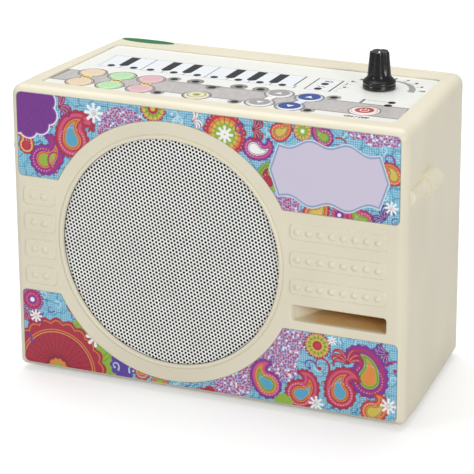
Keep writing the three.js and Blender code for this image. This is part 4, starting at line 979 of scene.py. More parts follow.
def vine(art, x, z, heading, length, turn, width, colour, berry):
    """A thin tapering stem that curls up at its end, with a round bud there."""
    path = curl(x, z, heading, length, turn, 44, 1.6)
    art.lay(art.stroke(path, np.linspace(width, width * 0.45, 44))[0], colour)
    art.lay(art.disc(*path[-1], berry), colour)


def beads(art, x, z, radius, count, size, colour):
    """A ring of small dots."""
    out, across = art.sectors(x, z, count)
    art.lay(np.hypot(out - radius, across) - size, colour)


def spray(art, x, z, heading, size, colour, count, spread):
    """Slender leaves that fan out from one point and curl over at their tips, with a dark outline
    and a pale vein."""
    for i in range(count):
        share = i / (count - 1) - 0.5
        turn = 2.6 if share > 0 else -2.6
        path = curl(x, z, heading + spread * share, size * (1.15 - 0.5 * abs(share)), turn, 34, 2.4)
        swell = np.sin(np.linspace(0.04, 0.96, 34) * np.pi) ** 1.3 * size * 0.062 + 0.17
        distance, _ = art.stroke(path, swell)
        art.lay(distance - 0.25, PLUM)
        art.lay(distance, colour)
        art.lay(art.stroke(path[5:22], np.full(17, 0.12))[0], BLUSH)


def tendrils(art, z0, z1, colours, seed):
    """Small curls strewn over the ground, one to a cell, each with its own heading and hand."""
    pitch = 9.5
    number = seed
    for x in np.arange(-108, 112, pitch):
        for z in np.arange(z0, z1, pitch):
            number += 1
            first, second = (math.modf(math.sin(number * rate) * 437.5)[0] for rate in (12.9, 78.2))
            turn = 5.0 if first > 0 else -5.0
            path = curl(x + first * pitch * 0.35, z + second * pitch * 0.35, number * 2.4,
                        pitch * 0.95, turn, 22, 1.5)
            art.lay(art.stroke(path, np.linspace(0.42, 0.2, 22))[0], colours[number % len(colours)])


def rosette(art, x, z, radius, colours, scallops, rise, widths=None):
    """Rings of colour inside a scalloped edge, with thin rays and a ring of dots."""
    distance = art.scalloped(x, z, radius - rise, rise, scallops)
    art.lay(distance - 0.3, PLUM)
    art.lay(distance, colours[0])
    away, angle = art.polar(x, z)
    shares = widths or np.linspace(0.84, 0.2, len(colours) - 1)
    for share, colour in zip(shares, colours[1:]):
        art.lay(away - radius * share, colour)
    rays = np.abs(np.sin(scallops * angle / 2)) * away * 2 / scallops - 0.16
    art.lay(np.maximum(rays, np.maximum(away - radius * 0.8, radius * 0.45 - away)), PLUM)
    beads(art, x, z, radius * 0.9, scallops * 2, 0.28, BLUSH)


def snow_flower(art, x, z, radius, heart):
    """Eight separate white petals with round ends, about a small eye."""
    out, across = art.sectors(x, z, 8)
    petal = np.hypot(across, np.maximum(np.abs(out - radius * 0.62) - radius * 0.22,
                                        0)) - radius * 0.15
    tip = np.hypot(across, out - radius * 0.9) - radius * 0.17
    for shape in (petal, tip, art.disc(x, z, radius * 0.2)):
        art.lay(shape, WHITE)
    art.lay(art.disc(x, z, radius * 0.1), heart)


def scatter(x, z, cell, seed):
    """For each point, the distance to the nearest of the spots strewn one to a cell, and a number
    from 0 to 1 that belongs to that spot."""
    column, row = np.floor(x / cell), np.floor(z / cell)
    best, mark = np.full(x.size, 1e3), np.zeros(x.size)
    for i in (-1, 0, 1):
        for j in (-1, 0, 1):
            a, b = column + i, row + j
            first = np.modf(np.abs(np.sin(a * 127.1 + b * 311.7 + seed)) * 4375.5)[0]
            second = np.modf(np.abs(np.sin(a * 269.5 + b * 183.3 + seed * 1.7)) * 4375.5)[0]
            d = np.hypot(x - (a + 0.15 + 0.7 * first) * cell, z - (b + 0.15 + 0.7 * second) * cell)
            closer = d < best
            best = np.where(closer, d, best)
            mark = np.where(closer, np.modf(first * 7.3 + second * 3.1)[0], mark)
    return best, mark


def sprinkle(art, region, seed):
    """A pale field strewn with small dots in several colours."""
    cell = 1.4
    art.lay(region, "#bdb6dc")
    near = region < 0.4
    distance, mark = np.full(art.x.size, FAR), np.zeros(art.x.size)
    distance[near], mark[near] = scatter(art.x[near], art.z[near], cell, seed)
    for number, colour in enumerate(STREWN):
        mine = (mark >= number / len(STREWN)) & (mark < (number + 1) / len(STREWN))
        art.lay(np.maximum(np.where(mine, distance - cell * 0.4, FAR), region), colour)


def ground_pattern(art):
    """Thin branching lines and a fine check on the ground colour."""
    check = np.sin(2 * np.pi * (art.x + art.z) / 2.6) * np.sin(2 * np.pi * (art.x - art.z) / 2.6)
    art.lay(0.2 - check, "#b4dcea", 0.3)
    wave = art.z + 1.6 * np.sin(art.x / 3.1) + 0.8 * np.sin(art.x / 1.3 + art.z / 2.0)
    other = art.x + 1.8 * np.sin(art.z / 3.7 + 1) + 0.7 * np.sin(art.z / 1.1 + art.x / 2.4)
    for height, pitch, half_width in ((wave, 6.5, 0.22), (other, 8.5, 0.2)):
        art.lay(np.abs((height / pitch) % 1 - 0.5) * pitch - half_width, DEEP_BLUE, 0.2)


CRIMSON, MAGENTA, ROSE, PURPLE, VIOLET = "#b3173f", "#b01a6b", "#d64f78", "#82209a", "#5a3aa0"
LIME, ORANGE, RED = "#93b836", "#e58a37", "#c9283c"
WHITE, ICE, GOLD = "#fbfbfb", "#bfe4f3", "#d9c04a"
TURQUOISE, PLUM, BLUSH, LEAF, DEEP_BLUE = "#4fa8cc", "#5a1040", "#f2c9d6", "#6f9a28", "#2b7ba6"
FLAME, ORCHID = [RED, ORANGE, RED, GOLD], [PURPLE, ROSE, PURPLE, WHITE]
SUNSET = [CRIMSON, ROSE, CRIMSON, ORANGE, TURQUOISE]
STREWN = [MAGENTA, CRIMSON, MAGENTA, "#4a6fc0", CRIMSON, WHITE, MAGENTA, "#7a2a8a"]


def upper_artwork(art):
    """The upper label: a plain scalloped corner patch on the left, a plain name plate on the right,
    and paisleys, fans, flowers and strewn fields between them."""
    ground_pattern(art)
    tendrils(art, 116, 162, [ICE, DEEP_BLUE, MAGENTA, ICE, VIOLET], 3)
    art.lay(art.disc(-70, 108, 18.5), LIME)
    art.lay(np.abs(art.disc(-70, 108, 15.5)) - 0.35, LEAF)
    sprinkle(art, np.maximum(art.disc(-47, 145, 15.5), -art.disc(-47, 145, 1)), 3.0)
    paisley(art, -96, 124.5, 8.2, 0.2, 3.0, [PURPLE, MAGENTA, PURPLE, ORANGE, LIME], 13, 0.8)
    paisley(art, -78, 137.5, 9.6, 1.9, -3.2, SUNSET, 15, 0.9)
    paisley(art, -106.5, 131.5, 4.2, 1.2, 2.6, [RED, GOLD, RED], 9, 0.5)
    vine(art, -88, 118, 2.6, 22, -4.4, 0.75, MAGENTA, 1.3)
    vine(art, -68, 144, 0.9, 17, 4.6, 0.7, CRIMSON, 1.1)
    vine(art, -84, 149, 1.9, 13, -4.2, 0.6, PURPLE, 1.0)
    snow_flower(art, -64.5, 155, 5.4, ORANGE)
    snow_flower(art, -79.5, 119.5, 4.3, GOLD)
    spray(art, -86, 156, 0.3, 9, MAGENTA, 5, 1.6)
    rosette(art, -29, 161.5, 7.6, [CRIMSON, GOLD, LIME, CRIMSON, GOLD], 12, 0.8)
    for turn in (0.3, 1.1, -0.5):
        vine(art, -17.5, 155.5, turn, 11, 4.2 if turn < 1 else -4.0, 0.5, ICE, 0.8)
    spray(art, -6, 157.5, 0.2, 7, WHITE, 5, 1.5)
    rosette(art, 13, 152, 12.6, [CRIMSON, RED, ORANGE, GOLD, LIME, WHITE], 16, 0.9,
            [0.86, 0.74, 0.6, 0.48, 0.2])
    snow_flower(art, 13, 152, 4.6, LIME)
    paisley(art, 29.5, 146.5, 5.6, -0.6, 2.8, ORCHID, 11, 0.6)
    spray(art, 29, 157, 0.0, 8.5, CRIMSON, 6, 2.0)
    vine(art, 24, 158.5, 3.0, 10, 3.8, 0.55, VIOLET, 0.9)
    paisley(art, 38, 128.5, 5.4, 2.2, -2.8, [LIME, LEAF, LIME, CRIMSON], 10, 0.5)
    sprinkle(art, art.disc(47, 113, 10.5), 9.0)
    paisley(art, 64, 113.5, 6.0, 0.4, 2.9, [CRIMSON, ORANGE, CRIMSON, GOLD], 12, 0.6)
    rosette(art, 78.5, 115.5, 5.0, ORCHID, 10, 0.6)
    paisley(art, 92, 113, 6.2, 2.8, -2.9, [MAGENTA, ROSE, MAGENTA, LIME], 12, 0.7)
    spray(art, 104, 116, 2.2, 9, VIOLET, 5, 1.8)
    snow_flower(art, 107.5, 123, 3.6, ORANGE)
    paisley(art, 108.5, 140, 4.4, 1.6, 2.8, FLAME, 9, 0.5)
    vine(art, 109, 147, 1.6, 11, 4.0, 0.6, PURPLE, 1.0)
    paisley(art, 44, 156.8, 4.6, 0.2, 2.8, FLAME, 9, 0.5)
    rosette(art, 57.5, 159, 5.4, [CRIMSON, GOLD, LIME, WHITE], 11, 0.6)
    paisley(art, 70, 157, 4.5, 2.9, -2.8, [PURPLE, ROSE, PURPLE, LIME], 9, 0.5)
    vine(art, 76, 157.5, 0.2, 13, -4.4, 0.6, CRIMSON, 1.0)
    sprinkle(art, art.discs([(98, 164, 9), (88, 166, 8), (107, 163, 7)]), 21.0)
    plate = name_plate(art, 72.4, 136.0, 32.6, 16.2)
    for margin, colour in ((1.6, "#d7e9f2"), (1.0, "#8a9fc4"), (0, "#d3cbe0")):
        art.lay(plate - margin, colour)
    patch = art.discs([
        (-111, 157, 9.5), (-101, 159, 8), (-93.5, 158.5, 5.2), (-92.6, 150.6, 5.0),
        (-97.6, 144.6, 5.0), (-105.0, 141.8, 5.0), (-111.6, 143.5, 4.6), (-103, 151, 9)])
    for margin, colour in ((1.15, WHITE), (0.55, "#9a5bb4"), (0, "#74208c")):
        art.lay(patch - margin, colour)


def name_plate(art, cx, cz, half_width, half_height):
    """A bare plate whose long sides bulge and whose ends run out into a blunt point."""
    across = np.abs(art.x - cx) / half_width
    rise = half_height * (1 - 0.28 * across**2 - 0.10 * np.cos(np.pi * 3 * across))
    edge = np.abs(art.z - cz) - rise
    ends = np.abs(art.x - cx) + 0.35 * np.abs(art.z - cz) - half_width
    return np.maximum(edge, ends)


def lower_artwork(art):
    """The lower label: a large fluted fan on the left, a broad strewn field and a group of paisleys
    on the right, and small curls on the narrow strip under the speaker."""
    ground_pattern(art)
    tendrils(art, 6, 46, [ICE, DEEP_BLUE, CRIMSON, ICE, VIOLET], 40)
    art.lay(art.discs([(-68, 22, 15.5), (-56, 10, 12)]), LIME)
    art.lay(np.abs(art.disc(-68, 22, 12.8)) - 0.3, LEAF)
    art.lay(np.abs(art.disc(-68, 22, 10.2)) - 0.3, LEAF)
    fan(art, -91, 1.5, 31, "#b0183b", "#8e1230", "#d88a3c")
    rosette(art, -106, 41, 6.8, [PURPLE, MAGENTA, ROSE, PURPLE, WHITE], 12, 0.7)
    spray(art, -108, 27, 1.5, 11, MAGENTA, 6, 1.9)
    vine(art, -107.5, 14, 1.4, 15, 4.4, 0.7, VIOLET, 1.2)
    snow_flower(art, -104, 31.5, 3.6, GOLD)
    paisley(art, -79, 41.5, 5.0, -0.2, -2.9, FLAME, 10, 0.6)
    snow_flower(art, -67, 24, 5.6, ORANGE)
    art.lay(art.scalloped(-50, 9.5, 7.0, 1.3, 11), VIOLET)
    vine(art, -53, 6.5, 1.2, 9, 4.6, 0.5, ICE, 0.7)
    vine(art, -46, 6.0, 1.9, 9, -4.6, 0.5, ICE, 0.7)
    paisley(art, -38.5, 7.5, 4.0, 0.4, 2.9, [RED, ORANGE, TURQUOISE, ORANGE], 9, 0.5)
    rosette(art, -27.5, 2.6, 5.4, [CRIMSON, ORANGE, LIME, GOLD], 12, 0.6)
    for x, colour in ((-19, ICE), (-12, VIOLET), (-5, MAGENTA)):
        vine(art, x, 3.6, 0.1, 6.5, 2.4, 0.4, colour, 0.5)
    art.lay(art.discs([(3, 3, 3.4), (-1, 2, 2.4)]), CRIMSON)
    sprinkle(art, art.discs([
        (34, 34, 15), (45, 36, 12), (24, 22, 10), (47, 24, 8.5), (14, 8, 8.5), (20, 12, 9),
        (55, 42, 6)]), 5.0)
    rosette(art, 66.5, 40, 7.6, [CRIMSON, GOLD, LIME, GOLD, CRIMSON, RED], 13, 0.8)
    paisley(art, 38, 12.5, 7.4, 2.7, -3.0, [PURPLE, ROSE, ORANGE, LIME, TURQUOISE], 13, 0.8)
    paisley(art, 56, 10.0, 7.8, 0.3, 3.1, SUNSET, 14, 0.9)
    art.lay(art.scalloped(47, 3, 5.2, 0.9, 11), LIME)
    snow_flower(art, 66, 6.2, 4.2, GOLD)
    paisley(art, 96, 25.0, 10.2, 1.2, 3.1, [PURPLE, MAGENTA, PURPLE, LIME, ORANGE], 15, 1.0)
    paisley(art, 80, 14.0, 8.4, 2.0, -3.1, SUNSET, 14, 0.9)
    paisley(art, 98, 6.5, 6.0, 0.2, 2.9, FLAME, 12, 0.7)
    spray(art, 84, 32, 1.7, 12, RED, 6, 2.0)
    vine(art, 73, 24, 1.3, 20, 4.7, 0.75, CRIMSON, 1.2)
    vine(art, 106, 34, 1.0, 16, -4.5, 0.7, MAGENTA, 1.1)
    vine(art, 66, 29, 2.4, 12, 4.2, 0.55, VIOLET, 0.9)
    snow_flower(art, 107.5, 11.5, 4.4, ICE)
    snow_flower(art, 75, 44, 2.6, ORANGE)
    spray(art, 107, 42, 3.6, 9, PURPLE, 5, 1.6)


def fan(art, cx, cz, radius, colour, deep, thread):
    """A fluted fan: nested scalloped bands whose flutes run out from the middle of the lower
    edge."""
    away, angle = art.polar(cx, cz)
    art.lay(art.scalloped(cx, cz, radius - 2.2, 2.2, 22), colour)
    art.lay(np.abs(art.scalloped(cx, cz, radius - 4.2, 2.0, 22)) - 0.35, thread)
    flutes = np.abs(np.sin(angle * 17)) * away / 17
    art.lay(np.maximum(flutes - 0.28, np.maximum(away - radius + 8.5, 8.5 - away)), deep, 0.2)
    art.lay(np.abs(away - radius + 7.6) - 0.3, thread)
    art.lay(np.abs(away - radius + 9.0) - 0.22, "#e6b35a")
    art.lay(art.scalloped(cx, cz, 7.6, 1.0, 12), deep)
    art.lay(art.scalloped(cx, cz, 5.4, 0.9, 12), ORANGE)
    art.lay(away - 3.6, LIME)


def label_sheet(name, heights, ground, draw):
    """A thin film whose front is a grid: columns run across, and rows rise from the lower edge to
    the upper one, which follow the corners and the speaker ring. A rim joins the front to one flat
    back."""
    columns, rows = 620, 146
    x = LABEL_LEFT + (LABEL_RIGHT - LABEL_LEFT) * np.linspace(0, 1, columns)
    near_end = np.clip(SHEET_CORNER - np.minimum(x - LABEL_LEFT, LABEL_RIGHT - x), 0, SHEET_CORNER)
    round_off = SHEET_CORNER - np.sqrt(np.maximum(SHEET_CORNER**2 - near_end**2, 0))
    ring = np.sqrt(np.maximum(RING_RADIUS**2 - (x - SPEAKER[0]) ** 2, 0))
    inside = np.abs(x - SPEAKER[0]) < RING_RADIUS
    low, high = heights[0] + round_off, heights[1] - round_off
    if heights[0] > SPEAKER[1]:
        low = np.where(inside, np.maximum(low, SPEAKER[1] + ring), low)
    else:
        high = np.where(inside, np.minimum(high, SPEAKER[1] - ring), high)
    z = low[None] + (high - low)[None] * np.linspace(0, 1, rows)[:, None]
    x = np.broadcast_to(x[None], z.shape)
    front = np.stack([x, np.full(z.shape, 0.3), z], -1).reshape(-1, 3)
    faces = grid_faces(rows, columns, around=False).tolist()
    index = np.arange(rows * columns).reshape(rows, columns)
    border = np.concatenate([index[0, :-1], index[:-1, -1], index[-1, :0:-1], index[:0:-1, 0]])
    back = front[border] + (0, 0.6, 0)
    first = len(front)
    here = np.arange(len(border))
    there = np.roll(here, -1)
    faces += np.stack([border[here], border[there], first + there, first + here], -1).tolist()
    faces.append((first + here).tolist()[::-1])
    mesh = to_mesh(name, place(np.vstack([front, back])), faces, weld=False)
    art = Artwork(front[:, 0], front[:, 2], ground)
    draw(art)
    colours = np.ones((len(mesh.vertices), 4))
    colours[:first, :3] = art.ink
    colours[first:, :3] = linear("#e9eef0")[:3]
    ink_layer(mesh, "POINT", colours)
    settle(mesh, weld=False)
    return mesh


class TANPURA_OT_labels(bpy.types.Operator):
    """Adds the two printed front labels"""

    bl_idname = "tanpura.labels"
    bl_label = "Printed labels"

    def execute(self, context):
        ground = tuple(context.scene.tanpura.printing.ground)
        film = printed_film("printed_vinyl_film")
        for side, heights, draw in (("upper", UPPER_LABEL, upper_artwork),
                                    ("lower", LOWER_LABEL, lower_artwork)):
            name = f"printed_label_{side}"
            mesh = label_sheet(name, heights, ground, draw)
            finish_piece(name, mesh, film, "cabinet", [f"front_label_{side}"], sharp=50)
        return {"FINISHED"}


# ---- Keypad film ----

BAND_LINE, BAND, HALO, DARK_HALO, INK_BLACK = "#8b8684", "#cbc7c4", "#a9a4a1", "#85807d", "#040405"
WHITE_KEY, THIN_LINE = "#f1f5f9", "#a9adb2"
HALO_LAMPS = (
    (-38.2, 47.4, 4.0, HALO), (-25.3, 47.4, 4.9, DARK_HALO), (-35.5, 19.8, 4.0, HALO),
    (0.9, 47.2, 4.9, DARK_HALO), (13.8, 47.0, 4.7, DARK_HALO), (10.2, 19.8, 4.0, HALO),
    (56.4, 47.4, 4.2, HALO), (52.3, 19.8, 4.2, HALO),
)
BARE_LAMPS = ((-12.1, 40.4), (88.6, 50.0), (88.6, 44.2), (42.2, 70.2), (42.0, 60.2))
NOTE_LAMPS = (-83.0, -69.0, -58.6, -44.2, -29.9, -19.6, -5.0, 7.9, 21.3)
BLACK_KEYS = (-76.7, -50.6, -37.7, -11.4, 1.6, 14.7)
KEY_PAIRS = {
    "orange": ("#f3dcc0", "#f3e6ac"), "green": ("#cfeec6", "#e9eda6"),
    "pink": ("#f0ccd0", "#f3d9a4"), "grey": ("#f3f3f3", "#f5f6f8"), "blue": ("#c9dcf2", "#e6f0fb"),
}


def inked_film(name, outline, holes, shapes, low, high, ground):
    """A flat film divided exactly along its printed outlines. Each shape is a closed outline with
    its ink, and a later one covers an earlier one. All run counterclockwise. The top's triangles,
    their copy underneath and the walls between the two make one closed sheet, inked by its
    corners."""
    inks = [ground, *(linear(ink) for _, ink in shapes)]
    spots, rings = [], []
    for one in (outline, *(shape for shape, _ in shapes), *holes):
        one = np.asarray(one, float)
        after = np.roll(one, -1, 0)
        if np.sum(one[:, 0] * after[:, 1] - one[:, 1] * after[:, 0]) < 0:
            one = one[::-1]
        rings.append(list(range(len(spots), len(spots) + len(one))))
        spots += [Vector(pair) for pair in one.tolist()]
    flat, _, cells, _, _, owners = delaunay_2d_cdt(spots, [], rings, 1, 1e-4, True)
    kept = [(cell, inks[max(owner)]) for cell, owner in zip(cells,
            owners) if 0 in owner and max(owner) < len(inks)]
    flat = np.array([(p.x, p.y) for p in flat])
    count = len(flat)
    faces = [list(cell) for cell, _ in kept]
    edges = {(a, b) for face in faces for a, b in zip(face, face[1:] + face[:1])}
    walls = [[b, a, a + count, b + count] for a, b in edges if (b, a) not in edges]
    under = [[i + count for i in face[::-1]] for face in faces]
    points = np.vstack([outline_at(flat, z=high), outline_at(flat, z=low)])
    mesh = bpy.data.meshes.new(name)
    mesh.from_pydata(place(points).tolist(), [], faces + under + walls)
    tints = [ink for face, (_, ink) in zip(faces, kept) for _ in face]
    tints += [ground] * (len(mesh.loops) - len(tints))
    ink_layer(mesh, "CORNER", tints)
    shape = bmesh.new()
    shape.from_mesh(mesh)
    bmesh.ops.delete(shape, geom=[v for v in shape.verts if not v.link_faces], context="VERTS")
    shape.to_mesh(mesh)
    shape.free()
    return mesh


def box_outline(x0, x1, y0, y1):
    """A rectangle in x and y."""
    return [(x0, y0), (x1, y0), (x1, y1), (x0, y1)]


def bead_row(x0, x1, y, count, width, height):
    """Short dashes side by side."""
    pitch = (x1 - x0) / count
    return [box_outline(x0 + i * pitch, x0 + i * pitch + width, y, y + height)
            for i in range(count)]


def printed_lines(lines):
    """Upright lines, each from its middle x, the y of its two ends, its width and its ink."""
    return [(box_outline(x - width / 2, x + width / 2, y0, y1), ink)
            for x, y0, y1, width, ink in lines]


def keyboard_print():
    """The keyboard diagram: nine white keys, six black ones over them, and thin lines between."""
    shapes = [(box_outline(-90.6, 28.2, 56.9, 80.2), WHITE_KEY)]
    shapes += [(box_outline(-90.6, 28.6, y, y + 0.4), THIN_LINE) for y in (56.7, 79.9)]
    shapes += printed_lines((
        (-89.6, 57, 80, 0.5, "#b9bcc0"), (-63.7, 56.8, 80, 0.6, "#77777b"),
        (-24.6, 56.8, 80, 0.6, "#77777b"), (27.6, 60.5, 80, 0.9, "#55555a"),
        (29.1, 56.6, 61, 0.8, "#77777b"),
    ))
    for x in BLACK_KEYS:
        shapes.append((box_outline(x - 0.25, x + 0.25, 56.9, 62), "#66666b"))
        key = [(-2.7, 62.2), (-1.2, 60.9), (0.9, 60.9), (2.7, 62.4), (3.1, 79.4), (-2.6, 79.4)]
        shapes.append(([(x + dx, y) for dx, y in key], INK_BLACK))
    return shapes


def supply_box_print():
    """The framed pair of lamps beside the keyboard, with a battery sign and a wave sign."""
    shapes = [(box_outline(34.8, 50.0, 56.8, 80.2), "#f2f3f4")]
    shapes += printed_lines((
        (35.2, 57, 80, 0.8, "#4c4c50"), (49.6, 57, 80, 0.9, "#3c3c40"),
        (42.4, 56.8, 57.1, 15.2, THIN_LINE), (42.4, 79.8, 80.2, 15.2, THIN_LINE),
    ))
    shapes += [(box_outline(40.2, 44.4, 74.2, 76.6), INK_BLACK),
               (box_outline(40.7, 43.9, 74.7, 76.1), "#f2f3f4")]
    shapes += [(box_outline(44.4, 45.0, 74.9, 75.9), INK_BLACK),
               (box_outline(41.1, 42.9, 75.0, 75.8), INK_BLACK)]
    across = np.linspace(-2.6, 2.6, 17)
    wave = np.column_stack([42.3 + across, 64.6 + 0.8 * np.sin(across * 2.4)])
    shapes.append((ribbon(wave, 0.5), INK_BLACK))
    for y in range(59, 78, 3):
        shapes.append((box_outline(51.8, 53.6 if y % 2 else 52.9, y, y + 0.6), "#8a8a8c"))
    return shapes + [(shape, "#8a8a8c") for shape in bead_row(51.4, 58.6, 80.6, 4, 1.1, 0.45)]


def dial_spot(number, reach):
    """The spot of one of the volume dial's eleven steps, which lie farther out towards the
    highest."""
    turn = math.radians(200 - 19.5 * number)
    away = reach + 5.2 * max(0, (number - 4.5) / 5.5) ** 0.9
    return KNOB[0] + away * math.cos(turn), KNOB[1] + away * math.sin(turn)


def volume_print():
    """A crescent that thickens to the right round the knob, and ticks outside it."""
    share = np.linspace(0, 1, 41)
    angle = math.radians(112) - math.radians(118) * share
    inner, outer = 15.0 + 1.6 * share, 15.5 + 5.2 * share**0.9
    way = np.column_stack([np.cos(angle), np.sin(angle)])
    crescent = np.vstack([KNOB + way * inner[:, None], (KNOB + way * outer[:, None])[::-1]])
    shapes = [(crescent, "#a29f9c")]
    for number in range(DIAL_STEPS):
        shapes.append((ribbon([dial_spot(number, 16.2), dial_spot(number, 17.2)], 0.6), "#55555a"))
    shapes.append((box_outline(72.1, 73.7, 43.8, 51.2), "#77716e"))
    return shapes + [(shape, "#a3a09d") for shape in bead_row(75.0, 86.4, 49.6, 9, 0.8, 0.9)]


def key_print(kind, up, down):
    """A dark line round a pair of keys and the neck that joins them, and the window in the neck."""
    rim, neck = KEY_PAIRS[kind]
    shapes = []
    for radius, width, ink in ((8.5, 7.0, "#827d7b"), (7.4, 4.8, rim)):
        shapes.append((ribbon([down, up], width), ink))
        shapes += [(disc(*spot, radius, 56), ink) for spot in (up, down)]
    middle = (np.asarray(up) + down) / 2 + (0, 0.3)
    shapes.append((ribbon([down, up], 4.4), neck))
    if kind in ("orange", "green", "pink"):
        shapes.append((polygon(box_outline(-2.9, 2.9, -1.7, 1.7), middle), "#efd873"))
        shapes += [(polygon(disc(side * 1.15, 0, 0.95, 16), middle), "#4a3d1c") for side in (-1, 1)]
        shapes.append((polygon(box_outline(-1.2, 1.2, -0.5, 0.5), middle), "#4a3d1c"))
    return shapes


def film_print():
    """All the film's printed shapes, the lowest first."""
    front_edge, rear_edge = 22.2, 43.6
    band = np.array([(-103.4, front_edge), (104.0, front_edge), (100.9, rear_edge),
                     (-101.6, rear_edge)])
    shapes = [(disc(x, y, r, 40), ink) for x, y, r, ink in HALO_LAMPS]
    shapes.append((band, BAND_LINE))
    shapes.append((band + [(1.9, 1.2), (-0.6, 1.2), (-0.6, -1.1), (1.8, -1.1)], BAND))
    for x, y, r, ink in HALO_LAMPS:
        shapes.append((disc(x, y, r * 0.8, 40), "#96918e" if ink == DARK_HALO else HALO))
    lens = [(-5.2, 3.6), (-3.4, 4.1), (3.4, 4.1), (5.2, 3.6), (2.6, -2.6), (0, -4.6), (-2.6, -2.6)]
    shapes.append((polygon(lens, (-12.3, 40.2)), DARK_HALO))
    shapes += keyboard_print() + supply_box_print() + volume_print()
    for kind in KEY_PAIRS:
        shapes += key_print(kind, KEY_PLACES[f"{kind}_up"], KEY_PLACES[f"{kind}_down"])
    spot = KEY_PLACES["yellow"]
    shapes += [(disc(*spot, 8.3, 56), "#77736f"), (disc(*spot, 7.2, 56), "#f6f3d8")]
    spot = KEY_PLACES["power"]
    shapes += [(disc(*spot, 9.0, 56), "#8d8886"), (disc(*spot, 8.0, 56), "#fbf1ef")]
    return shapes


def lettering(words, material):
    """Plain figures and switch words as thin raised ink: text made a mesh, then put in its
    place."""
    meshes = []
    for word, x, y, size in words:
        text = bpy.data.curves.new(f"word_{word}", "FONT")
        text.body, text.size, text.extrude, text.offset = word, size / 1000, 0.00002, 0.00017
        text.align_x, text.align_y, text.resolution_u = "CENTER", "CENTER", 3
        holder = linked(text.name, text)
        bpy.context.view_layer.update()
        mesh = bpy.data.meshes.new_from_object(holder)
        mesh.transform(Matrix.Translation(place((x, y, OVERLAY_TOP + 0.02))))
        meshes.append(mesh)
        bpy.data.objects.remove(holder)
        bpy.data.curves.remove(text)
    shape = bmesh.new()
    for mesh in meshes:
        shape.from_mesh(mesh)
        bpy.data.meshes.remove(mesh)
    joined = bpy.data.meshes.new("printed_figures")
    bmesh.ops.recalc_face_normals(shape, faces=shape.faces)
    shape.to_mesh(joined)
    shape.free()
    joined.materials.clear()
    finish_piece("printed_figures", joined, material, "cabinet", ())


class TANPURA_OT_keypad(bpy.types.Operator):
    """Adds the printed keypad film with its lamps and figures"""

    bl_idname = "tanpura.keypad"
    bl_label = "Keypad film"

    def execute(self, context):
        ground = tuple(context.scene.tanpura.printing.film)
        holes = [disc(*spot, KEY_RADIUS + 0.3, 56) for spot in KEY_PLACES.values()]
        holes.append(disc(*KNOB, 7.9, 40))
        mesh = inked_film(
            "printed_keypad_film", overlay_outline(0.3), holes, film_print(), OVERLAY_BOTTOM,
            OVERLAY_TOP, ground)
        finish_piece(
            "printed_keypad_film", mesh, overlay_film(), "cabinet", ["keypad_overlay"],
            sharp=30)

        lens = [(0, -0.02), (2.2, -0.02), (2.2, 0.02), (2.15, 0.07),
                (1.9, 0.11), (1.2, 0.14), (0, 0.15)]
        spots = [(x, y) for x, y, _, _ in HALO_LAMPS] + list(BARE_LAMPS) + [(x, 59.7)
                for x in NOTE_LAMPS]
        shells = [turned([(r, OVERLAY_TOP + h) for r, h in lens], spot, "z", 24) for spot in spots]
        smoke = mottled("smoked_lamp_lens", "#050506", "#0d0d10", 1.5, 0.32, 0.004, 1.42)
        add_piece("lamp_lenses", shells, smoke, "cabinet")

        words = [("ON / OFF", 80.4, 18.2, 3.3)]
        words += [(str(number), *dial_spot(number, 18.8), 3.3) for number in range(DIAL_STEPS)]
        ink = mottled("screen_printed_ink", "#060608", "#0e0e11", 0.6, 0.35, 0.002, 1.45)
        lettering(words, ink)
        return {"FINISHED"}


# ---- Keys ----


def coloured_mesh(name, parts):
    """One mesh from shells, each with one linear colour or with one for each of its points."""
    points, faces = together([shell for shell, _ in parts])
    mesh = to_mesh(name, place(points), faces, weld=False)
    ink_layer(mesh, "POINT", np.vstack([
        np.broadcast_to(np.asarray(colour, float), (len(shell[0]), 4)) for shell, colour in parts]))
    settle(mesh)
    return mesh


def slab(outline, low, high):
    """A flat closed layer between two heights, from an outline in x and y."""
    return stepped(outline, [(0, low), (0, high)], "z")


def disc(cx, cy, radius, sides=40):
    """A round outline in x and y."""
    angle = np.linspace(0, 2 * np.pi, sides, endpoint=False)
    return np.column_stack([cx + radius * np.cos(angle), cy + radius * np.sin(angle)])


def polygon(points, centre, turn=0.0):
    """An outline from pairs, turned and moved to a centre."""
    c, s = math.cos(turn), math.sin(turn)
    return np.asarray(points, float) @ np.array([[c, s], [-s, c]]) + np.asarray(centre)


def ribbon(path, width):
    """The outline of a flat band of one width along a path in x and y."""
    path = np.asarray(path, float)
    ahead = np.gradient(path, axis=0)
    ahead /= np.maximum(np.linalg.norm(ahead, axis=1), 1e-9)[:, None]
    side = np.column_stack([-ahead[:, 1], ahead[:, 0]]) * width / 2
    return np.vstack([path - side, (path + side)[::-1]])


FACE_RADII = {"power": 5.2, "blue": 6.15, "grey": 6.05}


def key_shell(spot, crown, edges):
    """A turned key: a stem, a flange under the top, and a cap with a rounded rim and a face that is
    very slightly dished. Each edge between two tints has a close pair of rings."""
    top = OVERLAY_TOP + crown
    r = KEY_RADIUS
    side = [
        (0, 157.7), (2.0, 157.7), (2.0, INNER_TOP - 1.3), (7.8, INNER_TOP - 1.3),
        (7.8, INNER_TOP - 0.3), (r, INNER_TOP - 0.3), (r, top - 0.42), (r - 0.05, top - 0.22),
        (r - 0.16, top - 0.1), (r - 0.34, top - 0.02), (r - 0.6, top),
    ]
    face = [(edge + offset, top - 0.02) for edge in edges for offset in (0.04, -0.04)]
    return turned([*side, *face, (1.2, top - 0.09), (0, top - 0.09)], spot, "z", 60)


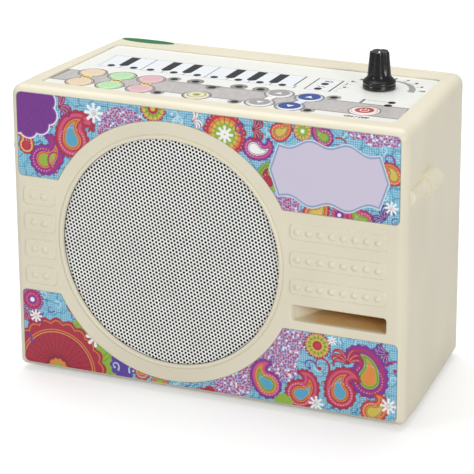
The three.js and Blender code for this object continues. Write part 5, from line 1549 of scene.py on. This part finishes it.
def key_tints(kind, tint):
    """The tints of a cap from its rim inwards, each with the radius that it starts at."""
    pale = np.asarray(tint) * 0.35 + np.asarray(linear("#fbf8f2")) * 0.65
    if kind in FACE_RADII:
        return [(KEY_RADIUS + 1, linear("#f6f6f4" if kind != "power" else "#f9ebe8")),
                (FACE_RADII[kind], tint)]
    if kind == "yellow":
        line = linear("#77734c")
        return [(KEY_RADIUS + 1, pale), (5.45, line), (4.95, tint), (3.9, pale), (2.7, tint),
                (1.7, line), (0.9, tint)]
    return [(KEY_RADIUS + 1, tint), (6.15, pale), (5.75, tint)]


class TANPURA_OT_keys(bpy.types.Operator):
    """Adds the twelve round keys with their marks"""

    bl_idname = "tanpura.keys"
    bl_label = "Round keys"

    def execute(self, context):
        settings = context.scene.tanpura.keys
        material = key_colour_layer()
        arrow = [(-2.2, -1.4), (2.2, -1.4), (0, 2.1)]
        for name, spot in KEY_PLACES.items():
            kind = name.split("_")[0]
            tints = key_tints(kind, tuple(getattr(settings, kind)))
            top = OVERLAY_TOP + settings.crown * 1000
            shell = key_shell(spot, settings.crown * 1000, [radius for radius, _ in tints[1:]])
            mark = []
            if kind in ("grey", "blue"):
                mark = [polygon(arrow, spot, 0.0 if name.endswith("up") else math.pi)]
            elif kind == "power":
                sweep = arc(spot, 2.3, math.radians(125), math.radians(415), 27)
                stroke = [(spot[0], spot[1] + 0.3), (spot[0], spot[1] + 3.1)]
                mark = [ribbon(sweep, 0.7), ribbon(stroke, 0.7)]
            away = np.hypot(shell[0][:, 0] - spot[0], shell[0][:, 1] - spot[1])
            ink = np.tile(np.asarray(tints[0][1], float), (len(away), 1))
            for radius, tint in tints[1:]:
                ink[(away < radius) & (shell[0][:, 2] > OVERLAY_TOP)] = tint
            parts = [(shell, ink)]
            for outline in mark:
                parts.append((slab(outline, top - 0.25, top + 0.01), linear("#f6f5f1")))
            mesh = coloured_mesh(f"cap_{name}", parts)
            finish_piece(
                f"cap_{name}", mesh, material, name, [f"key_{name}"], sharp=50)
        return {"FINISHED"}


# ---- Volume knob ----


def knob_shell(flutes, depth):
    """A grooved skirt, a sloping shoulder and a grip that narrows upwards: the radius at an angle
    is cut in by a few narrow flutes that run out at the shoulder and through the flat top's
    edge."""
    bottom = OVERLAY_TOP + KNOB_LIFT
    profile = np.array([
        (9.1, 0.0), (9.1, 1.3), (9.02, 1.6), (8.86, 1.85), (8.8, 2.1), (8.86, 2.35), (9.02, 2.7),
        (9.1, 3.1), (9.08, 3.45), (8.9, 3.72), (8.45, 4.12), (7.85, 4.68), (7.3, 5.25), (6.88, 5.8),
        (6.62, 6.3), (6.52, 6.9), (6.42, 8.2), (6.2, 11.0), (5.86, 14.5), (5.5, 18.4), (5.38, 19.5),
        (5.28, 19.8), (5.05, 20.02), (4.7, 20.14), (3.4, 20.2), (1.2, 20.22), (0.0, 20.22),
    ])
    fade = np.interp(profile[:, 1], [6.0, 9.5, 20.1, 20.25], [0, 1, 1, 0.5])
    fade[profile[:, 0] < 4] = 0
    angle = np.linspace(0, 2 * np.pi, 120, endpoint=False)
    wave = (np.cos(flutes * (angle + 0.721)) * 0.5 + 0.5) ** 2.6
    radius = profile[:, :1] - depth * fade[:, None] * wave[None]
    rows = np.stack([
        KNOB[0] + radius * np.cos(angle),
        KNOB[1] + radius * np.sin(angle),
        np.broadcast_to(bottom + profile[:, 1:], radius.shape),
    ], -1)
    way = np.stack([np.cos(angle), np.sin(angle)], -1)
    bore = [(0.0, 14.0), (3.3, 14.0), (3.3, 0.6), (7.6, 0.6), (7.6, 0.0), (8.9, 0.0)]
    inner = [np.column_stack([np.asarray(KNOB) + r * way, np.full(len(angle), bottom + z)])
             for r, z in bore]
    return loft(np.concatenate([np.array(inner), rows]))


class TANPURA_OT_knob(bpy.types.Operator):
    """Adds the glossy volume knob with its pointer line"""

    bl_idname = "tanpura.knob"
    bl_label = "Volume knob"

    def execute(self, context):
        settings = context.scene.tanpura.knob
        gloss = moulded_plastic(
            "polished_black_abs", tuple(settings.colour), 0.26, grain_mm=1.4, relief_mm=0.002,
            tone=0.1)
        add_piece(
            "knob_body", [knob_shell(settings.flutes, settings.flute_depth * 1000)], gloss, "knob",
            ["volume_knob"], sharp=40)
        top = OVERLAY_TOP + KNOB_LIFT
        path = np.array([(KNOB[0] + 0.3, KNOB[1] - 1.1), (KNOB[0] + 1.3, KNOB[1] - 4.4)])
        line = slab(ribbon(path, 0.8), top + 20.0, top + 20.27)
        paint = new_material("white_filling_paint", linear("#e9e9e6"), 0.5)
        bump(paint, grain(paint, 0.5), 0.01)
        add_piece("knob_pointer", [line], paint, "knob")
        return {"FINISHED"}


# ---- Rear cover, door and cells ----

COVER_INSIDE = 117.2
JACK, INLET = (80.0, 30.0), (-82.0, 27.0)
SCREW_PLACES = [(side * 97.0, z) for side in (-1, 1) for z in (11.5, 152.4)]
DOOR_HALF, DOOR_LOW, DOOR_HIGH = 47.7, 14.0, 73.7
DOOR_AXIS, PIN_WAY = (118.45, 15.75), 1.45
BOSS_ROOT = 117.5  # how far back posts and frames run into the cover's wall
CELL_PITCH, CELL_ROW = 15.0, 109.65
FEET = {
    "front_left": (-87.9, 16), "front_right": (87.9, 16),
    "rear_left": (-87.9, 96), "rear_right": (87.9, 96)}
BAY = (-45.7, 45.7, 16.0, 71.7)


def bar(x0, x1, y0, y1, z0, z1, corner=0.4):
    """A block that lies along the depth, its four long edges rounded."""
    return stepped(rounded_outline(x0, x1, z0, z1, corner, steps=4), [(0, y0), (0, y1)])


def rod(radius, y0, y1, spot, sides=36):
    """A plain round bar that lies along the depth."""
    return turned([(radius, y0), (radius, y1)], spot, "y", sides)


class TANPURA_OT_rear_cover(bpy.types.Operator):
    """Adds the moulded rear cover with its battery bay, sockets' seats and screw seats"""

    bl_idname = "tanpura.rear_cover"
    bl_label = "Rear cover"

    def execute(self, context):
        settings = context.scene.tanpura.cabinet
        outer = loft([
            cabinet_section(PARTING + 0.05, 0.4),
            cabinet_section(PARTING + 0.2, 0.12),
            cabinet_section(PARTING + 0.6, 0),
            *rounded_edge(DEPTH, settings.rear_fillet * 1000, -1),
        ])
        inner = loft([
            cabinet_section(PARTING - 1, WALL), cabinet_section(COVER_INSIDE - 0.8, WALL),
            cabinet_section(COVER_INSIDE, WALL + 0.8),
        ])
        rim = ((BOSS_ROOT, 3.3), (BOSS_ROOT, 5.3), (109.4, 5.3),
               (109.0, 4.7), (109.0, 3.9), (109.4, 3.3))
        tongue = closed_loop([cabinet_section(y, inset) for y, inset in rim])
        x0, x1, z0, z1 = BAY
        solid = [bar(x0 - 2, x1 + 2, 100.1, BOSS_ROOT, z0 - 2, z1 + 2, 1.2)]
        for side in (-1, 1):
            near, far = sorted((side * (DOOR_HALF - 0.3), side * (DOOR_HALF + 4.6)))
            solid.append(bar(near, far, 112.6, BOSS_ROOT, DOOR_LOW - 0.3, DOOR_LOW + 8.0))
        solid += [rod(6.6, PARTING, BOSS_ROOT, spot) for spot in SCREW_PLACES]
        solid.append(rod(12.0, 114.0, BOSS_ROOT, JACK, 48))
        for spot in ((-75.0, 91.0), (-75.0, 141.0), (75.0, 91.0), (75.0, 141.0)):
            solid.append(rod(3.0, 101.9, BOSS_ROOT, spot))
        pin_way = turned([(PIN_WAY, -50.6), (PIN_WAY, 50.6)], DOOR_AXIS, "x", 20)
        drilled = []
        for spot in SCREW_PLACES:
            drilled += [rod(1.8, 107.0, 118.0, spot, 20), rod(4.3, 107.0, PARTING, spot)]
        mouths = [recess(disc(*spot, 3.6, 36), DEPTH, -1, 3.2, 0.35) for spot in SCREW_PLACES]
        door_way = rounded_outline(-DOOR_HALF, DOOR_HALF, DOOR_LOW, DOOR_HIGH, 1.2, steps=5)
        flange = rounded_outline(
            INLET[0] - 13.8, INLET[0] + 13.8, INLET[1] - 8.3, INLET[1] + 8.3, 2.3, steps=6)
        mesh = carve("moulded_rear_cover", outer, [
            ("DIFFERENCE", [inner]),
            ("UNION", [tongue]),
            ("UNION", solid),
            ("DIFFERENCE", [recess(door_way, DEPTH, -1, 3.5, 0.35)]),
            ("DIFFERENCE", [bar(x0, x1, 102.1, 119.0, z0, z1, 0.8)]),
            ("DIFFERENCE", [pin_way]),
            ("DIFFERENCE", drilled),
            ("DIFFERENCE", mouths),
            ("DIFFERENCE", [recess(disc(*JACK, 10.0, 56), DEPTH, -1, 4.2, 0.8),
                            recess(flange, DEPTH, -1, 1.5, 0.3)]),
            ("DIFFERENCE", [
                rod(5.05, 111.0, 119.0, JACK),
                bar(INLET[0] - 10.8, INLET[0] + 10.8, 111.0, 119.5,
                    INLET[1] - 6.0, INLET[1] + 6.0, 1.0),
            ]),
        ])
        plastic = moulded_plastic("moulded_abs_rear", tuple(settings.colour),
                                  grain_mm=settings.grain * 1000)
        even_normals(finish_piece("moulded_rear_cover", mesh, plastic, "cabinet", ["rear_cover"],
                                  sharp=30))
        return {"FINISHED"}


class TANPURA_OT_battery_door(bpy.types.Operator):
    """Adds the hinged battery door and the six cells behind it"""

    bl_idname = "tanpura.battery_door"
    bl_label = "Battery door and cells"

    def execute(self, context):
        self.door(tuple(context.scene.tanpura.cabinet.colour))
        self.cells()
        return {"FINISHED"}

    @staticmethod
    def door(colour):
        """A plate swept across the cabinet: round below about the hinge's axis, its other edges
        eased, with three finger grooves, and a round-nosed pin at each end of the hinge."""
        low = arc(DOOR_AXIS, PIN_WAY, math.pi, 2 * math.pi, 12)
        high = [(119.9, 72.8), (119.82, 73.1), (119.6, 73.32), (119.3, 73.4), (117.25, 73.4),
                (117.0, 73.15)]
        section = np.vstack([low, high])
        middle = np.array([118.45, 44.0])
        rows = []
        for x, inset in ((-47.4, 0.5), (-47.25, 0.2), (-46.9, 0.0),
                         (46.9, 0.0), (47.25, 0.2), (47.4, 0.5)):
            flat = section + np.clip(middle - section, -1, 1) * inset
            rows.append(np.column_stack([np.full(len(flat), x), flat]))
        grooves = []
        for number in range(3):
            z = 66.7 - 3 * number
            outline = rounded_outline(-13, 13, z, z + 1.2, 0.55, steps=5)
            steps = [(-0.15, 119.4), (0, 119.6), (0.15, 119.92), (0.15, 121.0)]
            grooves.append(stepped(outline, steps))
        pin = [(0, 46.0), (1.15, 46.0), (1.15, 49.6), (1.0, 49.88), (0.7, 50.0), (0, 50.0)]
        pins = [turned([(r, x * side) for r, x in pin], DOOR_AXIS, "x", 20) for side in (-1, 1)]
        mesh = carve("moulded_battery_door", loft(rows), [("DIFFERENCE", grooves), ("UNION", pins)])
        plastic = moulded_plastic("moulded_abs_door", shade(colour, 0.99), grain_mm=0.8)
        even_normals(finish_piece("moulded_battery_door", mesh, plastic, "door", ["battery_door"],
                                  sharp=30))

    @staticmethod
    def cells():
        """Turned cells, every second one upside down. The wrap folds over at both ends onto a
        bright cap, and its two plain bands of colour stand in the layer named ink."""
        wrap_profile = [(0, 0.9), (5.0, 0.7), (6.3, 0.36), (6.75, 0.3), (7.02, 0.45), (7.1, 0.8),
                        (7.1, 33.9), (0, 33.9)]
        band_profile = [(7.1, 33.9), (7.1, 48.2), (6.95, 48.55), (6.4, 48.75), (5.2, 48.5),
                        (0, 48.3), (0, 33.9)]
        cap_high = [(0, 48.0), (5.6, 48.3), (5.9, 48.95), (5.2, 49.2), (3.6, 49.1), (3.3, 49.3),
                    (2.7, 49.7), (2.68, 50.3), (2.45, 50.5), (0, 50.5)]
        cap_low = [(0, 0.0), (4.3, 0.0), (4.6, 0.12), (5.1, 0.5), (5.3, 0.95), (0, 1.0)]
        parts, caps = [], []
        for index in range(6):
            spot = ((index - 2.5) * CELL_PITCH, CELL_ROW)
            foot, way = (69.1, -1) if index % 2 else (18.6, 1)
            wrap, band, *ends = (
                turned([(r, foot + way * z) for r, z in profile], spot, "z", 40)
                for profile in (wrap_profile, band_profile, cap_high, cap_low))
            parts += [(wrap, linear("#20242c")), (band, linear("#b98a3e"))]
            caps += ends
        mesh = coloured_mesh("cell_wraps", parts)
        film = printed_film("shrunk_pvc_wrap", 0.28)
        nodes = [f"battery_cell_{number}" for number in range(1, 7)]
        finish_piece("cell_wraps", mesh, film, "cabinet", nodes, sharp=40)
        nickel = metal("nickel_plated_steel", linear("#c6c4bd"), 0.3)
        add_piece("cell_caps", caps, nickel, "cabinet", sharp=40)


# ---- Sockets, screws, feet and sticker ----


class TANPURA_OT_sockets(bpy.types.Operator):
    """Adds the mains inlet and the line out jack in the rear cover"""

    bl_idname = "tanpura.sockets"
    bl_label = "Rear sockets"

    def execute(self, context):
        x, z = INLET
        black = mottled("glass_filled_nylon", "#141416", "#1e1e21", 0.8, 0.5, 0.02, 1.53)
        nickel = metal("nickel_plated_brass", linear("#cfcbc0"), 0.26)
        flange = rounded_outline(x - 13.5, x + 13.5, z - 8.0, z + 8.0, 2.2, steps=6)
        plate = stepped(flange, [(0, 119.0), (0, 119.85), (-0.1, DEPTH - 0.1), (-0.35, DEPTH)])
        body = bar(x - 10.5, x + 10.5, 103.2, 119.6, z - 5.7, z + 5.7, 0.8)
        middles = [(x - 4.3, z), (x + 4.3, z)]
        lobe = [(0, 107.7), (3.6, 107.7), (3.6, 119.7), (3.75, 120.0),
                (4.1, 120.25), (4.1, 122), (0, 122)]
        lobes = [turned(lobe, spot, "y", 40) for spot in middles]
        web = bar(x - 4.3, x + 4.3, 107.7, 122.0, z - 2.88, z + 2.88, 0.1)
        mesh = carve("mains_inlet_body", plate, [
            ("UNION", [body]), ("DIFFERENCE", [lobes[0]]), ("DIFFERENCE", [lobes[1]]),
            ("DIFFERENCE", [web])])
        even_normals(finish_piece("mains_inlet_body", mesh, black, "cabinet", ["mains_inlet"],
                                  sharp=30))
        pin = [(0, 106.9), (1.2, 106.9), (1.2, 116.9), (1.1, 117.35),
               (0.8, 117.62), (0.4, 117.7), (0, 117.7)]
        pins = [turned(pin, spot, "y", 24) for spot in middles]
        add_piece("mains_inlet_pins", pins, nickel, "cabinet", sharp=40)

        thread = [(4.75 - 0.22 * (i % 2), 113.9 + 0.3 * i) for i in range(19)]
        bush = [(3.25, 100.0), *thread, (4.5, 119.55), (4.3, 119.7), (3.6, 119.7), (3.3, 119.5),
                (3.25, 119.2)]
        add_piece(
            "jack_bush", [ring_shell(bush, JACK, "y", 40)], nickel, "cabinet",
            sharp=25)
        shell = bar(JACK[0] - 8, JACK[0] + 8, 91.7, 113.7, JACK[1] - 8, JACK[1] + 8, 0.8)
        mesh = carve("jack_body", shell, [("DIFFERENCE", [rod(3.3, 99.7, 114.5, JACK)])])
        finish_piece(
            "jack_body", mesh, black, "cabinet", ["line_out_jack"], sharp=30)
        finish_piece("jack_nut", self.nut(), nickel, "cabinet", ["line_out_nut"], sharp=25)
        return {"FINISHED"}

    @staticmethod
    def nut():
        """A six-sided nut whose corners are turned off above and below, bored for the bush."""
        corner = 6.5 / math.cos(math.pi / 6)
        sides = disc(*JACK, corner, 6)
        hexagon = stepped(sides, [(0, 116.3), (0, 118.5)])
        ease = [(0, 115.5), (6.2, 115.5), (6.5, 116.3), (7.6, 116.85), (7.6, 117.95), (6.5, 118.5),
                (6.2, 119.2), (0, 119.2)]
        return carve("jack_nut", hexagon, [
            ("INTERSECT", [turned(ease, JACK, "y", 48)]),
            ("DIFFERENCE", [rod(5.0, 115.0, 120.0, JACK)])])


class TANPURA_OT_fixings(bpy.types.Operator):
    """Adds the cover screws, the rubber feet and the plain oval sticker"""

    bl_idname = "tanpura.fixings"
    bl_label = "Screws, feet and sticker"

    def execute(self, context):
        steel = metal("zinc_plated_screw_steel", linear("#b4b8bb"), 0.34)
        for number, spot in enumerate(SCREW_PLACES, 1):
            thread = [(1.5 if i % 2 else 1.12, 99.9 + 0.55 * i) for i in range(29)]
            head = [(0, 99.3), (0.5, 99.4), *thread, (1.5, 116.4), (1.5, 117.3), (3.1, 117.3),
                    (3.28, 117.5), (3.3, 118.4), (3.15, 118.9), (2.7, 119.35), (2.0, 119.6),
                    (1.0, 119.69), (0, 119.7)]
            slit = bar(spot[0] - 4, spot[0] + 4, 118.5, 121.0, spot[1] - 0.45, spot[1] + 0.45, 0.1)
            mesh = carve(f"slotted_screw_{number}", turned(head, spot, "y", 36),
                         [("DIFFERENCE", [slit])])
            finish_piece(
                f"slotted_screw_{number}", mesh, steel, "cabinet", [f"cover_screw_{number}"],
                sharp=30)
        rubber = mottled("moulded_rubber", "#1a1a1b", "#262627", 0.9, 0.82, 0.04)
        pad = [(0, 4.6), (2.4, 4.6), (2.6, 3.9), (2.4, 3.2), (2.4, 0.0), (7.0, 0.0), (6.95, -0.5),
               (6.6, -1.6), (6.35, -2.15), (6.0, -2.42), (5.6, -2.5), (3.2, -2.5), (2.9, -2.35),
               (2.7, -2.0), (0, -2.0)]
        for name, spot in FEET.items():
            shell = turned(pad[::-1], spot, "z", 40)
            add_piece(
                f"rubber_foot_{name}", [shell], rubber, "cabinet", [f"foot_{name}"],
                sharp=40)
        self.sticker()
        return {"FINISHED"}

    @staticmethod
    def sticker():
        """A plain oval sticker that lies across the parting line and follows the rear rounding:
        rings of an ellipse, each point lifted to the top surface at its depth."""
        rounding = 6.0
        share = np.linspace(0, 2 * np.pi, 72, endpoint=False)
        rows = []
        for reach, lift in ((0.04, 0.14), (0.3, 0.14), (0.55, 0.14), (0.8, 0.14), (0.96, 0.14),
                            (1.0, 0.08), (1.0, -0.25), (0.8, -0.25), (0.5, -0.25), (0.04, -0.25)):
            x = -84.8 + 16.6 * reach * np.cos(share)
            y = 111.7 + 4.0 * reach * np.sin(share)
            over = np.clip(y - (DEPTH - rounding), 0, rounding)
            z = HEIGHT - rounding + np.sqrt(rounding**2 - over**2) + lift
            rows.append(np.column_stack([x, y, z]))
        green = mottled("glossy_paper_sticker", "#137038", "#1c7a42", 3.0, 0.42, 0.004, 1.45)
        add_piece("oval_sticker", [loft(rows)], green, "cabinet", sharp=50)


# ---- Inner pieces that keep their solids ----


def dress(node, material):
    """Gives a carried-over solid its finish."""
    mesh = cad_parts[node].data
    mesh.materials.clear()
    mesh.materials.append(material)


class TANPURA_OT_inner_finishes(bpy.types.Operator):
    """Gives the speaker, boards, transformer and contacts inside the cabinet their finishes"""

    bl_idname = "tanpura.inner_finishes"
    bl_label = "Inner finishes"

    def execute(self, context):
        zinc = metal("zinc_plated_steel", linear("#b9bdc0"), 0.38)
        steel = metal("pressed_steel", linear("#a7abae"), 0.42)
        foam = mottled("cellular_foam_gasket", "#1b1b1d", "#29292c", 0.9, 0.92, 0.08)
        pulp = mottled("pressed_paper_cone", "#1d1c1c", "#2b2927", 0.7, 0.9, 0.05)
        cap = mottled("coated_paper_cap", "#141414", "#222222", 1.2, 0.55, 0.02)
        ferrite = mottled("sintered_ferrite", "#35353a", "#4a494c", 1.5, 0.7, 0.03)
        laminate = mottled("solder_masked_laminate", "#2f6433", "#3f7a42", 2.2, 0.42, 0.01)
        winding = metal("enamelled_copper_winding", linear("#b4662f"), 0.36, 0.4, (1, 1, 6), 0.05)
        iron = mottled("stacked_iron_core", "#5d5f62", "#7a7c7f", 0.5, 0.55, 0.03,
                       stretch=(1, 8, 1))
        aluminium = metal("extruded_aluminium", linear("#b9bcbf"), 0.34, 0.5, (1, 1, 0.1))
        finishes = {
            "speaker_gasket": foam, "speaker_basket": steel, "speaker_cone": pulp,
            "speaker_dust_cap": cap, "speaker_magnet": ferrite, "control_board": laminate,
            "volume_potentiometer": zinc, "potentiometer_nut": zinc, "volume_shaft": aluminium,
            "battery_contacts_lower": zinc, "battery_contacts_upper": zinc, "sound_board": laminate,
            "amplifier_heat_sink": aluminium, "transformer_core": iron, "transformer_coil": winding,
            "power_board": laminate,
        }
        for number in range(1, 5):
            finishes[f"speaker_screw_{number}"] = zinc
        for node, material in finishes.items():
            dress(node, material)
        return {"FINISHED"}


# ---- Stage ----


def camera_ray_mix(owner, unseen, seen):
    """One shader for what the camera sees and another for every other ray."""
    rays = add_node(owner, "LightPath").outputs["Is Camera Ray"]
    inputs = {0: rays, 1: unseen.outputs[0], 2: seen.outputs[0]}
    return add_node(owner, "MixShader", inputs=inputs).outputs[0]


STAGE_LAMPS = (  # name, place, size and share of the lamp power
    ("top_lamp", (-0.3, 0.5, 2.0), 2.0, 1.0),
    ("left_lamp", (-1.2, -1.4, 0.85), 0.4, 0.22),
    ("right_lamp", (1.45, -1.19, 0.59), 0.6, 0.41),
)
LAMP_AIM = Vector((0, 0, 0.09))
CAMERA_ANGLES = (23.7415, 19.4090, -0.3034)  # azimuth, elevation and roll, in degrees
CAMERA_PLACE = (0.529271, -1.216985, 0.543666)


class TANPURA_OT_stage(bpy.types.Operator):
    """Adds the pale floor, the soft lamps and the camera"""

    bl_idname = "tanpura.stage"
    bl_label = "Stage"

    def execute(self, context):
        settings = context.scene.tanpura.stage
        scene = context.scene
        scene.view_settings.view_transform = "Standard"
        scene.world = bare_nodes(bpy.data.worlds.new("even_surround"))
        white = linear("#ffffff")
        even, shown = (
            add_node(scene.world, "Background", inputs={"Color": white, "Strength": strength})
            for strength in (settings.sky, 1.0))
        mix = camera_ray_mix(scene.world, even, shown)
        add_node(scene.world, "OutputWorld", inputs={"Surface": mix})

        floor_mesh = bpy.data.meshes.new("floor")
        size = 6.0
        corners = [(-size, -size, 0), (size, -size, 0), (size, size, 0), (-size, size, 0)]
        floor_mesh.from_pydata(corners, [], [(0, 1, 2, 3)])
        floor = linked("floor", floor_mesh)
        floor_mesh.materials.append(self.floor_paper())

        for name, spot, size, share in STAGE_LAMPS:
            self.lamp(name, spot, size, settings.lamp * share)
        scene.camera = self.camera(settings.lens)
        return {"FINISHED"}

    @staticmethod
    def floor_paper():
        """Pale background paper: matt, so that it keeps the soft shadow, and lifted to white."""
        material = bare_nodes(bpy.data.materials.new("background_paper"))
        paper = add_node(material, "BsdfDiffuse", inputs={"Color": linear("#d4d4d4")})
        lift = add_node(material, "Emission", inputs={"Color": linear("#ffffff"), "Strength": 0.42})
        none = add_node(material, "Emission", inputs={"Color": linear("#000000"), "Strength": 0.0})
        chosen = camera_ray_mix(material, none, lift)
        both = add_node(material, "AddShader", inputs={0: paper.outputs[0], 1: chosen})
        add_node(material, "OutputMaterial", inputs={"Surface": both.outputs[0]})
        return material

    @staticmethod
    def lamp(name, spot, size, power):
        """A square soft lamp that faces the object's middle."""
        data = bpy.data.lights.new(name, "AREA")
        data.shape = "SQUARE"
        data.size = size
        data.energy = power
        lamp = linked(name, data)
        lamp.location = spot
        lamp.rotation_euler = (LAMP_AIM - Vector(spot)).to_track_quat("-Z", "Y").to_euler()

    @staticmethod
    def camera(lens):
        """The camera stands to the right and above, at the angle of the photograph."""
        data = bpy.data.cameras.new("front_right_camera")
        data.sensor_width = 36.0
        data.lens = lens
        camera = linked("front_right_camera", data)
        azimuth, elevation, roll = (math.radians(angle) for angle in CAMERA_ANGLES)
        level = math.cos(elevation)
        back = Vector((math.sin(azimuth) * level, -math.cos(azimuth) * level, math.sin(elevation)))
        right = (-back).cross(Vector((0, 0, 1))).normalized()
        up = right.cross(-back).normalized()
        turned_right = right * math.cos(roll) + up * math.sin(roll)
        turned_up = up * math.cos(roll) - right * math.sin(roll)
        pose = Matrix((turned_right, turned_up, back)).transposed().to_4x4()
        pose.translation = Vector(CAMERA_PLACE)
        camera.matrix_world = pose
        return camera


# ---- Panel, registration and making ----

OPERATORS = (
    TANPURA_OT_stage,
    TANPURA_OT_front_housing,
    TANPURA_OT_bass_port,
    TANPURA_OT_grille,
    TANPURA_OT_labels,
    TANPURA_OT_keypad,
    TANPURA_OT_keys,
    TANPURA_OT_knob,
    TANPURA_OT_rear_cover,
    TANPURA_OT_battery_door,
    TANPURA_OT_sockets,
    TANPURA_OT_fixings,
    TANPURA_OT_inner_finishes,
)
GROUPS = (
    TanpuraCabinet,
    TanpuraGrille,
    TanpuraPrint,
    TanpuraKeys,
    TanpuraKnob,
    TanpuraStage,
    TanpuraSettings,
)


class TANPURA_PT_pieces(bpy.types.Panel):
    """Lists the pieces of the instrument"""

    bl_idname = "TANPURA_PT_pieces"
    bl_label = "Electronic tanpura"
    bl_space_type = "VIEW_3D"
    bl_region_type = "UI"
    bl_category = "Tanpura"

    def draw(self, context):
        column = self.layout.column()
        for operator in OPERATORS:
            column.operator(operator.bl_idname)


CLASSES = (*GROUPS, *OPERATORS, TANPURA_PT_pieces)


def register():
    for one in CLASSES:
        bpy.utils.register_class(one)
    bpy.types.Scene.tanpura = bpy.props.PointerProperty(type=TanpuraSettings)


def unregister():
    del bpy.types.Scene.tanpura
    for one in reversed(CLASSES):
        bpy.utils.unregister_class(one)


def main():
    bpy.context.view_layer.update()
    register()
    for operator in OPERATORS:
        section, name = operator.bl_idname.split(".")
        getattr(getattr(bpy.ops, section), name)()


if __name__ == "__main__":
    main()
